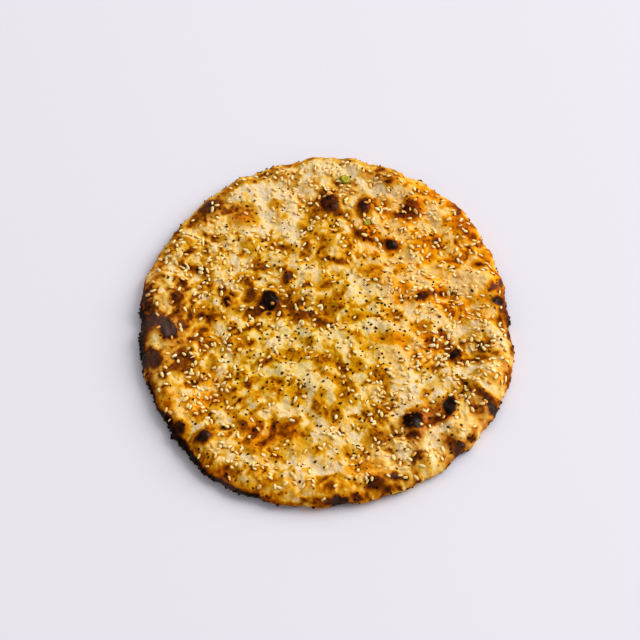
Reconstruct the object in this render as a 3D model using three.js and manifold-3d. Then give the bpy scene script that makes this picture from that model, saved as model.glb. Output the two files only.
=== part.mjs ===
// A round naan bread: one flat piece of hand-stretched dough with a soft rim and baked blisters,
// and sesame seeds and two scraps of green chilli baked into its top.
// Millimetres, +Z up. The origin is the middle of the base, on the surface the bread rests on.
// +X is to the right and -Y is towards the reader.

import * as THREE from 'three';
import { mergeVertices } from 'three/addons/utils/BufferGeometryUtils.js';
import Module from 'manifold-3d';

// Driving dimensions

// Radius of the edge every 15 degrees, anticlockwise from +X.
const edgeRadii = [
  99, 100, 102, 106, 107, 109, 110, 108, 106.5, 104, 102, 103,
  101, 102.5, 104, 108, 113, 113, 111.5, 110, 109, 107, 106, 103.5,
];
const edgeRipple = { depth: 0.45, ripples: 31, turn: 0.7 };

const middleThickness = 8.6;
const rim = { rise: 1.5, inset: 12, width: 10 };
const shoulder = { inset: 8, level: 3.6 };
const underside = { inset: 6 };
const swell = { longest: 46, shrink: 0.83, rise: 0.42, fade: 0.93, count: 9 };

// Blisters that rise from the crust: middle x and y, width along their turn and across it, and rise.
const blisters = [
  { x: -86, y: -8, along: 30, across: 22, turn: -25, rise: 2.6 },
  { x: -91, y: -26, along: 17, across: 15, turn: 0, rise: 2.2 },
  { x: -96, y: 14, along: 12, across: 11, turn: 0, rise: 1.4 },
  { x: -78, y: -69, along: 20, across: 15, turn: 40, rise: 2.2 },
  { x: -64, y: -74, along: 19, across: 16, turn: 30, rise: 2.6 },
  { x: -65, y: 71, along: 19, across: 15, turn: 35, rise: 1.8 },
  { x: 2, y: 75, along: 21, across: 19, turn: 0, rise: 2.4 },
  { x: 21, y: 76, along: 17, across: 12, turn: 80, rise: 2.2 },
  { x: 40, y: 67, along: 12, across: 10, turn: 0, rise: 1.6 },
  { x: 48, y: 75, along: 15, across: 13, turn: 30, rise: 2.2 },
  { x: 34.5, y: 49, along: 11, across: 10, turn: 0, rise: 1.8 },
  { x: 19, y: 56, along: 12, across: 11, turn: 0, rise: 1.4 },
  { x: -31, y: 12, along: 15, across: 13, turn: 80, rise: 2.8 },
  { x: -21, y: 27, along: 12, across: 10, turn: 80, rise: 1.8 },
  { x: -53, y: 11, along: 10, across: 10, turn: 0, rise: 1.4 },
  { x: -80, y: 13, along: 13, across: 11, turn: 80, rise: 1.5 },
  { x: 56, y: 16, along: 22, across: 11, turn: 10, rise: 1.4 },
  { x: 69, y: -22, along: 12, across: 11, turn: 80, rise: 2 },
  { x: 63, y: -56, along: 24, across: 19, turn: 70, rise: 3.4 },
  { x: 46, y: -65, along: 20, across: 17, turn: 70, rise: 3 },
  { x: 85, y: -55, along: 18, across: 14, turn: 40, rise: 1.6 },
  { x: 70, y: -81, along: 18, across: 14, turn: 30, rise: 1.8 },
  { x: 92, y: 11, along: 15, across: 12, turn: 60, rise: 1.8 },
  { x: 89, y: 25, along: 14, across: 12, turn: 70, rise: 1.4 },
  { x: 7, y: -104, along: 18, across: 14, turn: 0, rise: 1.4 },
  { x: 28, y: -100, along: 20, across: 14, turn: 10, rise: 1.4 },
];

const seed = { length: 3.4, width: 2.1, thickness: 1.3, taper: 0.35, lift: 0.25, sides: 5, bands: 3 };
const sowing = { count: 170, gap: 7.5, margin: 5, draws: 6000, randomStart: 41 };

// Places where a pinch of seeds was thrown, how far it spread, and the chance of a seed elsewhere.
const pinches = [
  { x: 72, y: -20, reach: 50 },
  { x: 62, y: 42, reach: 60 },
  { x: -66, y: 40, reach: 60 },
  { x: -75, y: -35, reach: 40 },
  { x: 30, y: 84, reach: 45 },
  { x: -20, y: 92, reach: 45 },
  { x: 40, y: -90, reach: 40 },
  { x: 0, y: -98, reach: 50 },
];
const sparsest = 0.25;

const chilliScraps = [
  { x: 10.5, y: 93, length: 4.6, width: 4, thickness: 2 },
  { x: 22.5, y: 63.5, length: 3.6, width: 2.4, thickness: 1.6 },
];
const scrapSides = { around: 7, bands: 4 };

// Mesh fineness of the dough.
const rings = 20;
const spokes = 6;
const shoulderSteps = 4;
const undersideSteps = 3;

const crustColour = 0xd29a4c;

// Shape of the dough

const goldenAngle = Math.PI * (3 - Math.sqrt(5));

// The edge runs through the radii as a Catmull-Rom curve, with a light ripple on it.
function edgeRadius(angle) {
  const count = edgeRadii.length;
  const turns = (((angle / (2 * Math.PI)) % 1) + 1) % 1;
  const place = turns * count;
  const i = Math.floor(place);
  const t = place - i;
  const [before, start, end, after] = [-1, 0, 1, 2].map((step) => edgeRadii[(i + step + count) % count]);
  const slope = end - before;
  const bend = 2 * before - 5 * start + 4 * end - after;
  const twist = 3 * (start - end) + after - before;
  const radius = start + 0.5 * t * (slope + t * (bend + t * twist));
  return radius + edgeRipple.depth * Math.sin(edgeRipple.ripples * angle + edgeRipple.turn);
}

// A dome that is 1 in its middle and comes down to 0, level, at distance 1.
function dome(distance) {
  return distance < 1 ? (1 - distance * distance) ** 2 : 0;
}

// A quarter circle: 0 at the edge, rising steeply, and 1 from the full inset inwards.
function quarterRound(inset, fullInset) {
  const rest = 1 - Math.min(inset / fullInset, 1);
  return Math.sqrt(Math.max(1 - rest * rest, 0));
}

// Swells are plane waves, each one shorter than the last and turned from it by the golden angle.
function swells(x, y) {
  let height = 0;
  for (let i = 0; i < swell.count; i += 1) {
    const turn = i * goldenAngle;
    const along = x * Math.cos(turn) + y * Math.sin(turn);
    const wavelength = swell.longest * swell.shrink ** i;
    height += swell.rise * swell.fade ** i * Math.cos((2 * Math.PI * along) / wavelength + i * i);
  }
  return height;
}

function blisterRise(x, y) {
  let height = 0;
  for (const blister of blisters) {
    const turn = THREE.MathUtils.degToRad(blister.turn);
    const dx = x - blister.x;
    const dy = y - blister.y;
    const along = (dx * Math.cos(turn) + dy * Math.sin(turn)) / (blister.along / 2);
    const across = (dy * Math.cos(turn) - dx * Math.sin(turn)) / (blister.across / 2);
    height += blister.rise * dome(Math.hypot(along, across));
  }
  return height;
}

// How far a point lies inside the edge, measured towards the middle.
function insetAt(x, y) {
  return Math.max(edgeRadius(Math.atan2(y, x)) - Math.hypot(x, y), 0);
}

function topHeight(x, y) {
  const inset = insetAt(x, y);
  const rimRise = rim.rise * dome((inset - rim.inset) / rim.width);
  const full = middleThickness + rimRise + swells(x, y) + blisterRise(x, y);
  return shoulder.level + (full - shoulder.level) * quarterRound(inset, shoulder.inset);
}

function undersideHeight(x, y) {
  return shoulder.level * (1 - quarterRound(insetAt(x, y), underside.inset));
}

// The dough is a closed mesh. Rings of 6, 12, 18 ... points cover the top as far as the shoulder.
// The last ring's points are then carried round the shoulder and the underside, and a fan closes
// the base.
function doughGeometry() {
  const positions = [];
  const triangles = [];
  const addPoint = (radius, angle, height) => {
    const x = radius * Math.cos(angle);
    const y = radius * Math.sin(angle);
    positions.push(x, y, height(x, y));
  };

  addPoint(0, 0, topHeight);
  for (let ring = 1; ring <= rings; ring += 1) {
    const count = spokes * ring;
    for (let i = 0; i < count; i += 1) {
      const angle = (2 * Math.PI * i) / count;
      addPoint(((edgeRadius(angle) - shoulder.inset) * ring) / rings, angle, topHeight);
    }
  }

  const ringStart = (ring) => (ring === 0 ? 0 : 1 + (spokes * ring * (ring - 1)) / 2);
  const ringPoint = (ring, i) => ringStart(ring) + (ring === 0 ? 0 : i % (spokes * ring));
  for (let ring = 0; ring < rings; ring += 1) {
    for (let spoke = 0; spoke < spokes; spoke += 1) {
      for (let i = 0; i <= ring; i += 1) {
        const inner = ringPoint(ring, spoke * ring + i);
        const outer = ringPoint(ring + 1, spoke * (ring + 1) + i);
        const outerNext = ringPoint(ring + 1, spoke * (ring + 1) + i + 1);
        triangles.push(inner, outer, outerNext);
        if (i < ring) triangles.push(inner, outerNext, ringPoint(ring, spoke * ring + i + 1));
      }
    }
  }

  const around = spokes * rings;
  let rowStart = ringStart(rings);
  const addRow = (inset, height) => {
    const nextStart = positions.length / 3;
    for (let i = 0; i < around; i += 1) {
      const angle = (2 * Math.PI * i) / around;
      addPoint(edgeRadius(angle) - inset, angle, height);
      const next = (i + 1) % around;
      triangles.push(rowStart + i, nextStart + i, nextStart + next);
      triangles.push(rowStart + i, nextStart + next, rowStart + next);
    }
    rowStart = nextStart;
  };
  for (let step = 1; step <= shoulderSteps; step += 1) {
    const rise = (Math.PI / 2) * (1 - step / shoulderSteps);
    addRow(shoulder.inset * (1 - Math.cos(rise)), topHeight);
  }
  for (let step = 1; step <= undersideSteps; step += 1) {
    const fall = (Math.PI / 2) * (step / undersideSteps);
    addRow(underside.inset * (1 - Math.cos(fall)), undersideHeight);
  }

  const baseMiddle = positions.length / 3;
  positions.push(0, 0, 0);
  for (let i = 0; i < around; i += 1) {
    triangles.push(rowStart + i, baseMiddle, rowStart + ((i + 1) % around));
  }

  const geometry = new THREE.BufferGeometry();
  geometry.setAttribute('position', new THREE.Float32BufferAttribute(positions, 3));
  geometry.setIndex(triangles);
  geometry.computeVertexNormals();
  return geometry;
}

// Toppings

// A repeatable stream of random numbers between 0 and 1.
function randomStream(start) {
  let state = start;
  return () => {
    state = (state + 0x6d2b79f5) | 0;
    let mixed = Math.imul(state ^ (state >>> 15), 1 | state);
    mixed = (mixed + Math.imul(mixed ^ (mixed >>> 7), 61 | mixed)) ^ mixed;
    return ((mixed ^ (mixed >>> 14)) >>> 0) / 4294967296;
  };
}

// A sphere drawn out along X into a seed, flat on top and with one end more pointed than the other.
function seedGeometry() {
  const geometry = new THREE.SphereGeometry(0.5, seed.sides, seed.bands, -Math.PI / 2);
  geometry.rotateZ(-Math.PI / 2);
  const position = geometry.attributes.position;
  for (let i = 0; i < position.count; i += 1) {
    const slimming = 1 - seed.taper * position.getX(i);
    position.setY(i, position.getY(i) * slimming);
    position.setZ(i, position.getZ(i) * slimming);
  }
  return geometry.scale(seed.length, seed.width, seed.thickness);
}

function scrapGeometry(scrap) {
  const geometry = new THREE.SphereGeometry(0.5, scrapSides.around, scrapSides.bands);
  return geometry.rotateX(Math.PI / 2).scale(scrap.length, scrap.width, scrap.thickness);
}

function seedChance(x, y) {
  let chance = sparsest;
  for (const pinch of pinches) {
    chance += dome(Math.hypot(x - pinch.x, y - pinch.y) / pinch.reach);
  }
  return Math.min(chance, 1);
}

// Seeds fall at random, thicker where a pinch was thrown, and never closer than the gap.
function sowSeeds() {
  const random = randomStream(sowing.randomStart);
  const reach = Math.max(...edgeRadii);
  const sown = [];
  for (let draw = 0; draw < sowing.draws && sown.length < sowing.count; draw += 1) {
    const x = reach * (2 * random() - 1);
    const y = reach * (2 * random() - 1);
    const chance = random();
    const turn = 2 * Math.PI * random();
    const inside = insetAt(x, y) > sowing.margin;
    const clear = sown.every((other) => Math.hypot(other.x - x, other.y - y) > sowing.gap);
    if (inside && clear && chance < seedChance(x, y)) sown.push({ x, y, turn });
  }
  return sown;
}

const down = new THREE.Vector3(0, 0, -1);
const up = new THREE.Vector3(0, 0, 1);
const dropHeight = 40;

// Lays a topping on the dough at x and y, turned by turn, flat against the crust under it.
function layOn(dough, geometry, { x, y, turn = 0 }, lift) {
  const caster = new THREE.Raycaster(new THREE.Vector3(x, y, dropHeight), down);
  const hit = caster.intersectObject(dough)[0];
  const lean = new THREE.Quaternion().setFromUnitVectors(up, hit.face.normal);
  const spin = new THREE.Quaternion().setFromAxisAngle(up, turn);
  geometry.applyQuaternion(lean.multiply(spin));
  const place = hit.point.addScaledVector(hit.face.normal, lift);
  return geometry.translate(place.x, place.y, place.z);
}

// Joining into one solid

const wasm = await Module();
wasm.setup();

function toSolid(geometry) {
  geometry.deleteAttribute('normal');
  geometry.deleteAttribute('uv');
  const merged = mergeVertices(geometry);
  const vertProperties = new Float32Array(merged.attributes.position.array);
  const triVerts = new Uint32Array(merged.index.array);
  return new wasm.Manifold(new wasm.Mesh({ numProp: 3, vertProperties, triVerts }));
}

function toGeometry(solid) {
  const mesh = solid.getMesh();
  const geometry = new THREE.BufferGeometry();
  geometry.setAttribute('position', new THREE.BufferAttribute(mesh.vertProperties, 3));
  geometry.setIndex(new THREE.BufferAttribute(mesh.triVerts, 1));
  return geometry;
}

// Puts the middle of the base at the origin.
function centreOnBase(geometry) {
  geometry.computeBoundingBox();
  const { min, max } = geometry.boundingBox;
  geometry.translate(-(min.x + max.x) / 2, -(min.y + max.y) / 2, -min.z);
  geometry.computeVertexNormals();
  return geometry;
}

function naan() {
  const doughShape = doughGeometry();
  const dough = new THREE.Mesh(doughShape.clone());
  const toppings = sowSeeds().map((place) => layOn(dough, seedGeometry(), place, seed.lift));
  toppings.push(...chilliScraps.map((scrap) => layOn(dough, scrapGeometry(scrap), scrap, 0)));
  const solid = toppings.reduce((joined, topping) => joined.add(toSolid(topping)), toSolid(doughShape));
  const material = new THREE.MeshStandardMaterial({ color: crustColour, roughness: 0.7, metalness: 0 });
  const mesh = new THREE.Mesh(centreOnBase(toGeometry(solid)), material);
  mesh.name = 'naan';
  return mesh;
}

const bread = new THREE.Group();
bread.add(naan());

export default bread;
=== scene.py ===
import bpy
import numpy as np
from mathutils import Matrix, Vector
from mathutils.bvhtree import BVHTree


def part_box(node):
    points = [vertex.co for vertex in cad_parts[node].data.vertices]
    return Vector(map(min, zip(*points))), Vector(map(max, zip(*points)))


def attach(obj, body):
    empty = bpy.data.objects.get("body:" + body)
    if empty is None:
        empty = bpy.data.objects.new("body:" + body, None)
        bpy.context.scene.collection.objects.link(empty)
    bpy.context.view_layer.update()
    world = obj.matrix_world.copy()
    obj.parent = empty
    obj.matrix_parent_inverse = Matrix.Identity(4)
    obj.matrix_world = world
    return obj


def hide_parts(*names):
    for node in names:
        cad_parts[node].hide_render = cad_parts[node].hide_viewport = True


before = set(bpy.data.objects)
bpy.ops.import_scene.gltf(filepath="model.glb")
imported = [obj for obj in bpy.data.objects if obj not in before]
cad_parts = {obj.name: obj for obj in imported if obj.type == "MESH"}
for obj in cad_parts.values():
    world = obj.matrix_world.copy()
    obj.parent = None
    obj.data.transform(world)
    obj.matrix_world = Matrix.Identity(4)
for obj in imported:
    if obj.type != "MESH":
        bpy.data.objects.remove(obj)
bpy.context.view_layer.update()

# Sizes are millimetres until a mesh is made. Angles in dictionaries and lists are degrees.
# A pair named as a fade holds the two values between which something comes in or dies out.
mm = 0.001
goldenAngle = np.pi * (3 - np.sqrt(5))


# Clouds, domes and other shapes that the crust is made of

latticeSteps = (374761393, 668265263, 2147483647, 974634777)        # spread a cell's address over 32 bits
mixers = (1274126177, 2246822519)
cloudOffset = 512       # keeps every cell's address above 0
cloudGain = 1.6         # brings a cloud to about -1 to 1


def easeBetween(low, high, value):
    # 0 below low, 1 above high, and an S-shaped curve between them
    t = np.clip((value - low) / (high - low), 0, 1)
    return t * t * (3 - 2 * t)


def dome(distance):
    # (1 - distance squared) squared: 1 in the middle, level at 0 from distance 1 outwards
    return np.where(distance < 1, (1 - np.minimum(distance, 1) ** 2) ** 2, 0)


def cornerPull(i, j, k, seed, ahead):
    # A random direction at each lattice corner, from the two halves of its mixed address, times the way
    # from that corner to the point
    address = sum(number * step for number, step in zip((i, j, k, seed), latticeSteps))
    mixed = address.astype(np.uint32)
    mixed = (mixed ^ (mixed >> 13)) * np.uint32(mixers[0])
    mixed = (mixed ^ (mixed >> 15)) * np.uint32(mixers[1])
    turn = (mixed & 0xffff) / 65536 * 2 * np.pi
    rise = (mixed >> 16) / 65536 * 2 - 1
    flat = np.sqrt(1 - rise * rise)
    return flat * np.cos(turn) * ahead[0] + flat * np.sin(turn) * ahead[1] + rise * ahead[2]


def cloud(points, size, seed):
    # Gradient noise from about -1 to 1: the pulls of a cube's eight corners, blended by an S-curve
    place = points / size + cloudOffset
    corner = np.floor(place)
    within = (place - corner).T
    i, j, k = corner.astype(np.int64).T
    blend = within ** 3 * (within * (within * 6 - 15) + 10)
    total = 0
    for di in (0, 1):
        for dj in (0, 1):
            for dk in (0, 1):
                ahead = within - np.array([di, dj, dk])[:, None]
                share = np.prod(np.where(np.array([di, dj, dk])[:, None], blend, 1 - blend), axis=0)
                total = total + share * cornerPull(i + di, j + dj, k + dk, seed, ahead)
    return cloudGain * total


def clouds(points, size, seed, layers=2, falloff=0.55):
    # Cloud on cloud, each half the size of the last and falloff times as strong
    return sum(falloff ** n * cloud(points, size / 2 ** n, seed + 31 * n) for n in range(layers))


def patches(points, size, seed, low, high):
    # 0 to 1: a cloud, with what lies between low and high drawn out into an S-shaped curve
    return easeBetween(low, high, cloud(points, size, seed))


def drift(points, reach, size, seed):
    # The points, each moved by a cloud of its own in X and in Y
    moved = points.copy()
    moved[:, 0] += reach * clouds(points, size, seed)
    moved[:, 1] += reach * clouds(points, size, seed + 1)
    return moved


def ellipseDistance(x, y, marks):
    # How far each point is from each mark's middle, where 1 is on the edge of its ellipse
    middleX, middleY, along, across, turn = (np.array(v, float)[:, None] for v in list(zip(*marks))[:5])
    turn = np.radians(turn)
    dx, dy = x - middleX, y - middleY
    u = (dx * np.cos(turn) + dy * np.sin(turn)) / (along / 2)
    v = (dy * np.cos(turn) - dx * np.sin(turn)) / (across / 2)
    return np.hypot(u, v)


def sumOfDomes(x, y, marks):
    # A dome on each mark's ellipse, as strong as the mark's last number, all added up
    strengths = np.array([mark[5] for mark in marks])
    return strengths @ dome(ellipseDistance(x, y, marks))


def angleAway(angle, middle, halfWidth):
    # How far an angle is from the middle, as a share of the half width, all in degrees
    return np.abs((angle - middle + 180) % 360 - 180) / halfWidth


# The bread's form, the same as the solid's

bread = {
    # radius of the edge every 15 degrees, anticlockwise from +X
    "edgeRadii": [
        99, 100, 102, 106, 107, 109, 110, 108, 106.5, 104, 102, 103,
        101, 102.5, 104, 108, 113, 113, 111.5, 110, 109, 107, 106, 103.5,
    ],
    "rippleDepth": 0.45, "ripples": 31, "rippleStart": 0.7,        # the start in radians
    "middleThickness": 8.6,
    "rimRise": 1.5, "rimInset": 12, "rimWidth": 10,
    "shoulderInset": 8, "shoulderLevel": 3.6, "undersideInset": 6,
    "swellLongest": 46, "swellShrink": 0.83, "swellRise": 0.42, "swellFalloff": 0.93, "swellCount": 9,
}

# Blisters: x, y, length, width, turn, rise
blisters = [
    (-86, -8, 30, 22, -25, 2.6), (-91, -26, 17, 15, 0, 2.2), (-96, 14, 12, 11, 0, 1.4),
    (-78, -69, 20, 15, 40, 2.2), (-64, -74, 19, 16, 30, 2.6), (-65, 71, 19, 15, 35, 1.8),
    (2, 75, 21, 19, 0, 2.4), (21, 76, 17, 12, 80, 2.2), (40, 67, 12, 10, 0, 1.6),
    (48, 75, 15, 13, 30, 2.2), (34.5, 49, 11, 10, 0, 1.8), (19, 56, 12, 11, 0, 1.4),
    (-31, 12, 15, 13, 80, 2.8), (-21, 27, 12, 10, 80, 1.8), (-53, 11, 10, 10, 0, 1.4),
    (-80, 13, 13, 11, 80, 1.5), (56, 16, 22, 11, 10, 1.4), (69, -22, 12, 11, 80, 2),
    (63, -56, 24, 19, 70, 3.4), (46, -65, 20, 17, 70, 3), (85, -55, 18, 14, 40, 1.6),
    (70, -81, 18, 14, 30, 1.8), (92, 11, 15, 12, 60, 1.8), (89, 25, 14, 12, 70, 1.4),
    (7, -104, 18, 14, 0, 1.4), (28, -100, 20, 14, 10, 1.4),
]


def edgeRadius(angle):
    # A Catmull-Rom curve through the radii, with a light ripple on it
    radii = np.array(bread["edgeRadii"])
    place = (angle / (2 * np.pi)) % 1 * len(radii)
    i = np.floor(place).astype(int)
    t = place - i
    before, start, end, after = (radii[(i + step) % len(radii)] for step in (-1, 0, 1, 2))
    bend = 2 * before - 5 * start + 4 * end - after
    twist = 3 * (start - end) + after - before
    radius = start + 0.5 * t * (end - before + t * (bend + t * twist))
    return radius + bread["rippleDepth"] * np.sin(bread["ripples"] * angle + bread["rippleStart"])


def quarterRound(inset, fullInset):
    # A quarter circle: 0 at the edge, rising steeply, and 1 from the full inset inwards
    rest = 1 - np.minimum(inset / fullInset, 1)
    return np.sqrt(np.maximum(1 - rest * rest, 0))


def insetAt(x, y):
    # How far a point lies inside the edge, measured towards the middle
    return np.maximum(edgeRadius(np.arctan2(y, x)) - np.hypot(x, y), 0)


def topHeight(x, y):
    # Thickness, plus a dome round the rim, plane waves turned by the golden angle, and the blisters
    inset = insetAt(x, y)
    rim = dome(np.abs(inset - bread["rimInset"]) / bread["rimWidth"])
    height = bread["middleThickness"] + bread["rimRise"] * rim
    for i in range(bread["swellCount"]):
        along = x * np.cos(i * goldenAngle) + y * np.sin(i * goldenAngle)
        wavelength = bread["swellLongest"] * bread["swellShrink"] ** i
        rise = bread["swellRise"] * bread["swellFalloff"] ** i
        height = height + rise * np.cos(2 * np.pi * along / wavelength + i * i)
    height = height + sumOfDomes(x, y, blisters)
    level = bread["shoulderLevel"]
    return level + (height - level) * quarterRound(inset, bread["shoulderInset"])


def undersideHeight(x, y):
    # A quarter circle from the widest level down to the base
    return bread["shoulderLevel"] * (1 - quarterRound(insetAt(x, y), bread["undersideInset"]))


# The crust's mesh: rings of points from the middle of the top, round the edge, to the middle of the base

crust = {
    "topSpacing": 0.72, "edgeSpacing": 0.8, "baseSpacing": 1.9,
    "shoulderRows": 12, "undersideRows": 9,
}


def stitchRings(innerStart, innerCount, outerStart, outerCount):
    # Walks round two rings at once, and makes a triangle at each half step that either ring reaches
    halfSteps = np.concatenate([
        (np.arange(outerCount) + 0.5) / outerCount,
        (np.arange(innerCount) + 0.5) / innerCount,
    ])
    onOuter = np.argsort(halfSteps, kind="stable") < outerCount
    outerPast = np.cumsum(onOuter) - onOuter
    innerPast = np.cumsum(~onOuter) - ~onOuter
    outer = outerStart + outerPast % outerCount
    inner = innerStart + innerPast % innerCount
    after = np.where(
        onOuter,
        outerStart + (outerPast + 1) % outerCount,
        innerStart + (innerPast + 1) % innerCount,
    )
    triangles = np.stack([outer, after, inner], axis=1)
    return triangles[(after != inner) & (after != outer)]       # a ring of one point makes flat ones


def crustRings():
    # Each row is (share of the inner radius, inset, on top or not, spacing of its points)
    shoulder, under = bread["shoulderInset"], bread["undersideInset"]
    reach = np.mean(bread["edgeRadii"])
    rows = []
    topRows = round((reach - shoulder) / crust["topSpacing"])
    for share in np.arange(topRows + 1) / topRows:
        rows.append((share, shoulder, True, crust["topSpacing"]))
    for rise in np.pi / 2 * (1 - np.arange(1, crust["shoulderRows"] + 1) / crust["shoulderRows"]):
        rows.append((1, shoulder * (1 - np.cos(rise)), True, crust["edgeSpacing"]))
    for fall in np.pi / 2 * np.arange(1, crust["undersideRows"] + 1) / crust["undersideRows"]:
        rows.append((1, under * (1 - np.cos(fall)), False, crust["edgeSpacing"]))
    baseRows = round((reach - under) / crust["baseSpacing"])
    for share in 1 - np.arange(1, baseRows + 1) / baseRows:
        rows.append((share, under, False, crust["baseSpacing"]))
    return rows, reach


def crustForm():
    # Radius = share x (edge radius - inset) at each angle, and the height comes from x and y
    rows, reach = crustRings()
    counts = [
        max(round(2 * np.pi * share * (reach - inset) / spacing), 1) for share, inset, _, spacing in rows
    ]
    starts = np.concatenate([[0], np.cumsum(counts)])
    angles = np.concatenate([2 * np.pi * np.arange(count) / count for count in counts])
    shares, insets, onTop = (np.repeat([row[n] for row in rows], counts) for n in (0, 1, 2))
    radius = shares * (edgeRadius(angles) - insets)
    x, y = radius * np.cos(angles), radius * np.sin(angles)
    z = np.where(onTop > 0, topHeight(x, y), undersideHeight(x, y))
    triangles = [
        stitchRings(starts[n], counts[n], starts[n + 1], counts[n + 1]) for n in range(len(rows) - 1)
    ]
    return np.stack([x, y, z], axis=1), np.concatenate(triangles), onTop > 0


def pointNormals(points, triangles):
    # The sum of the normals of the triangles at each point, made one long
    a, b, c = points[triangles].transpose(1, 0, 2)
    facing = np.cross(b - a, c - a)
    normals = np.stack([
        sum(np.bincount(triangles[:, corner], facing[:, axis], len(points)) for corner in range(3))
        for axis in range(3)
    ], axis=1)
    return normals / np.linalg.norm(normals, axis=1, keepdims=True)


# Fine relief of the crust. Patches are size, seed, and the two ends of what is drawn out of the cloud.

relief = {
    "warpReach": 1.8, "warpSize": 7,
    "puffSize": 11.5, "puffRise": 1.0, "bubbleSize": 4.8, "bubbleRise": 0.78,
    "pimpleSize": 2.9, "pimpleRise": 0.5, "midTop": 0.4,
    "lowestTop": 0.4, "narrowestTop": 0.6, "widthSpread": 0.5, "lattice": 64,
    "leftPull": 66, "rightPull": -62, "pullChange": 25,
    "pullLength": 2.6, "pullSize": 2.3, "pullRise": 0.16, "pullPatches": (26, 13, -0.5, 0.4),
    "creaseSize": 9, "creaseWidth": 0.16, "creaseDepth": 0.4, "creasePatches": (23, 8, -0.1, 0.5),
    "calmest": 0.6,
    "crownFade": (0.62, 0.95), "puffCrown": 0.6, "bubbleCrown": 0.5,
    "pimpleFade": (0.55, 0.9),
    "rimStretch": 7, "rimStreakSize": 2, "rimStreakRise": 0.36, "rimStreakReach": 11,
    "rimStreakPatches": (30, 61, -0.4, 0.3),
    "grainSize": 1.8, "grainDepth": 0.22, "charSize": 2.6, "charDepth": 0.5, "charFalloff": 0.8,
}

# Narrow folds in the dough: x, y, length, width, turn, rise
folds = [
    (74, -57, 24, 4, 78, 0.9), (52, -73, 26, 4, 30, 0.7), (-60, -22, 22, 4, -70, 0.7),
    (-70, -44, 20, 4, 70, 0.6), (-52, 58, 34, 4, 50, 0.6), (-44, 44, 26, 3, 62, 0.5),
    (66, 66, 24, 4, -48, 0.6), (28, -4, 24, 4, 40, 0.6), (38, 33, 20, 4, -60, 0.6),
    (82, -34, 18, 4, 76, 0.6), (-12, -80, 22, 4, 12, 0.6), (-84, 22, 18, 4, 80, 0.6),
]

# Where the dough is smoother: x, y, length, width, turn, and the share of the relief that is missing
calmAreas = [
    (36, -18, 110, 90, 0, 0.5), (60, 50, 100, 90, 0, 0.4), (-6, -86, 90, 50, 0, 0.45),
    (-40, 70, 60, 50, 0, 0.25),
]


def puffs(x, y, size, seed):
    # One dome for each lattice cell, its middle, width and rise drawn at random: the highest wins
    highest = np.zeros_like(x)
    rng = np.random.default_rng(seed)
    cells = relief["lattice"]
    lattice = rng.uniform(size=(4, cells, cells))
    i, j = np.floor(x / size).astype(int), np.floor(y / size).astype(int)
    for di in (-1, 0, 1):
        for dj in (-1, 0, 1):
            shiftX, shiftY, width, rise = lattice[:, (i + di) % cells, (j + dj) % cells]
            distance = np.hypot(i + di + shiftX - x / size, j + dj + shiftY - y / size)
            reach = relief["narrowestTop"] + relief["widthSpread"] * width
            top = relief["lowestTop"] + (1 - relief["lowestTop"]) * rise
            highest = np.maximum(highest, top * dome(distance / reach))
    return highest


def pulled(points, size, length, seed, layers):
    # Clouds drawn out along the way the dough was pulled, one way on the left and another on the right
    right = easeBetween(-relief["pullChange"], relief["pullChange"], points[:, 0])
    total = 0
    for direction, share in ((relief["leftPull"], 1 - right), (relief["rightPull"], right)):
        turn = np.radians(direction)
        along = points[:, 0] * np.cos(turn) + points[:, 1] * np.sin(turn)
        across = points[:, 1] * np.cos(turn) - points[:, 0] * np.sin(turn)
        drawn = np.stack([along / length, across, points[:, 2]], axis=1)
        total = total + share * clouds(drawn, size, seed, layers)
    return total


def rimStreaks(points):
    # Clouds on a circle that is shrunk by the stretch, which draws them out into streaks round the rim
    x, y, z = points.T
    angle, radius = np.arctan2(y, x), np.hypot(x, y)
    reach = np.mean(bread["edgeRadii"]) / relief["rimStretch"]
    ringed = np.stack([reach * np.cos(angle), reach * np.sin(angle), radius - z], axis=1)
    near = dome(insetAt(x, y) / relief["rimStreakReach"]) * patches(points, *relief["rimStreakPatches"])
    return near * clouds(ringed, relief["rimStreakSize"], seed=62)


def doughRelief(points):
    # Height = pimples on bubbles on puffs, with streaks and creases, less where it is calm, plus folds.
    # Also gives how much of a crown, a crease and a pimple each point is, from 0 to about 1.
    warped = drift(points, relief["warpReach"], relief["warpSize"], seed=5)
    x, y = warped[:, 0], warped[:, 1]
    height = 0
    tops = {}
    for seed, kind in enumerate(("puff", "bubble", "pimple"), 1):
        tops[kind] = puffs(x, y, relief[kind + "Size"], seed)
        height = height + relief[kind + "Rise"] * (tops[kind] - relief["midTop"])
    streaked = pulled(warped, relief["pullSize"], relief["pullLength"], seed=11, layers=2)
    height += relief["pullRise"] * streaked * patches(points, *relief["pullPatches"])
    creases = dome(np.abs(clouds(points, relief["creaseSize"], seed=7)) / relief["creaseWidth"])
    creases = creases * patches(points, *relief["creasePatches"])
    height -= relief["creaseDepth"] * creases
    height *= 1 - np.minimum(sumOfDomes(x, y, calmAreas), relief["calmest"])
    height += sumOfDomes(x, y, folds) + relief["rimStreakRise"] * rimStreaks(points)
    crowns = relief["puffCrown"] * easeBetween(*relief["crownFade"], tops["puff"])
    crowns += relief["bubbleCrown"] * easeBetween(*relief["crownFade"], tops["bubble"])
    return height, crowns, creases, easeBetween(*relief["pimpleFade"], tops["pimple"])


def grain(points, rough):
    # Fine grain, and lumps where the crust is charred rough
    fine = relief["grainDepth"] * clouds(points, relief["grainSize"], seed=9)
    lumps = clouds(points, relief["charSize"], seed=10, falloff=relief["charFalloff"])
    return fine + rough * relief["charDepth"] * lumps


# How dark the crust is baked, from 0, raw cream, through 0.5, golden, to 1, black

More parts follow.
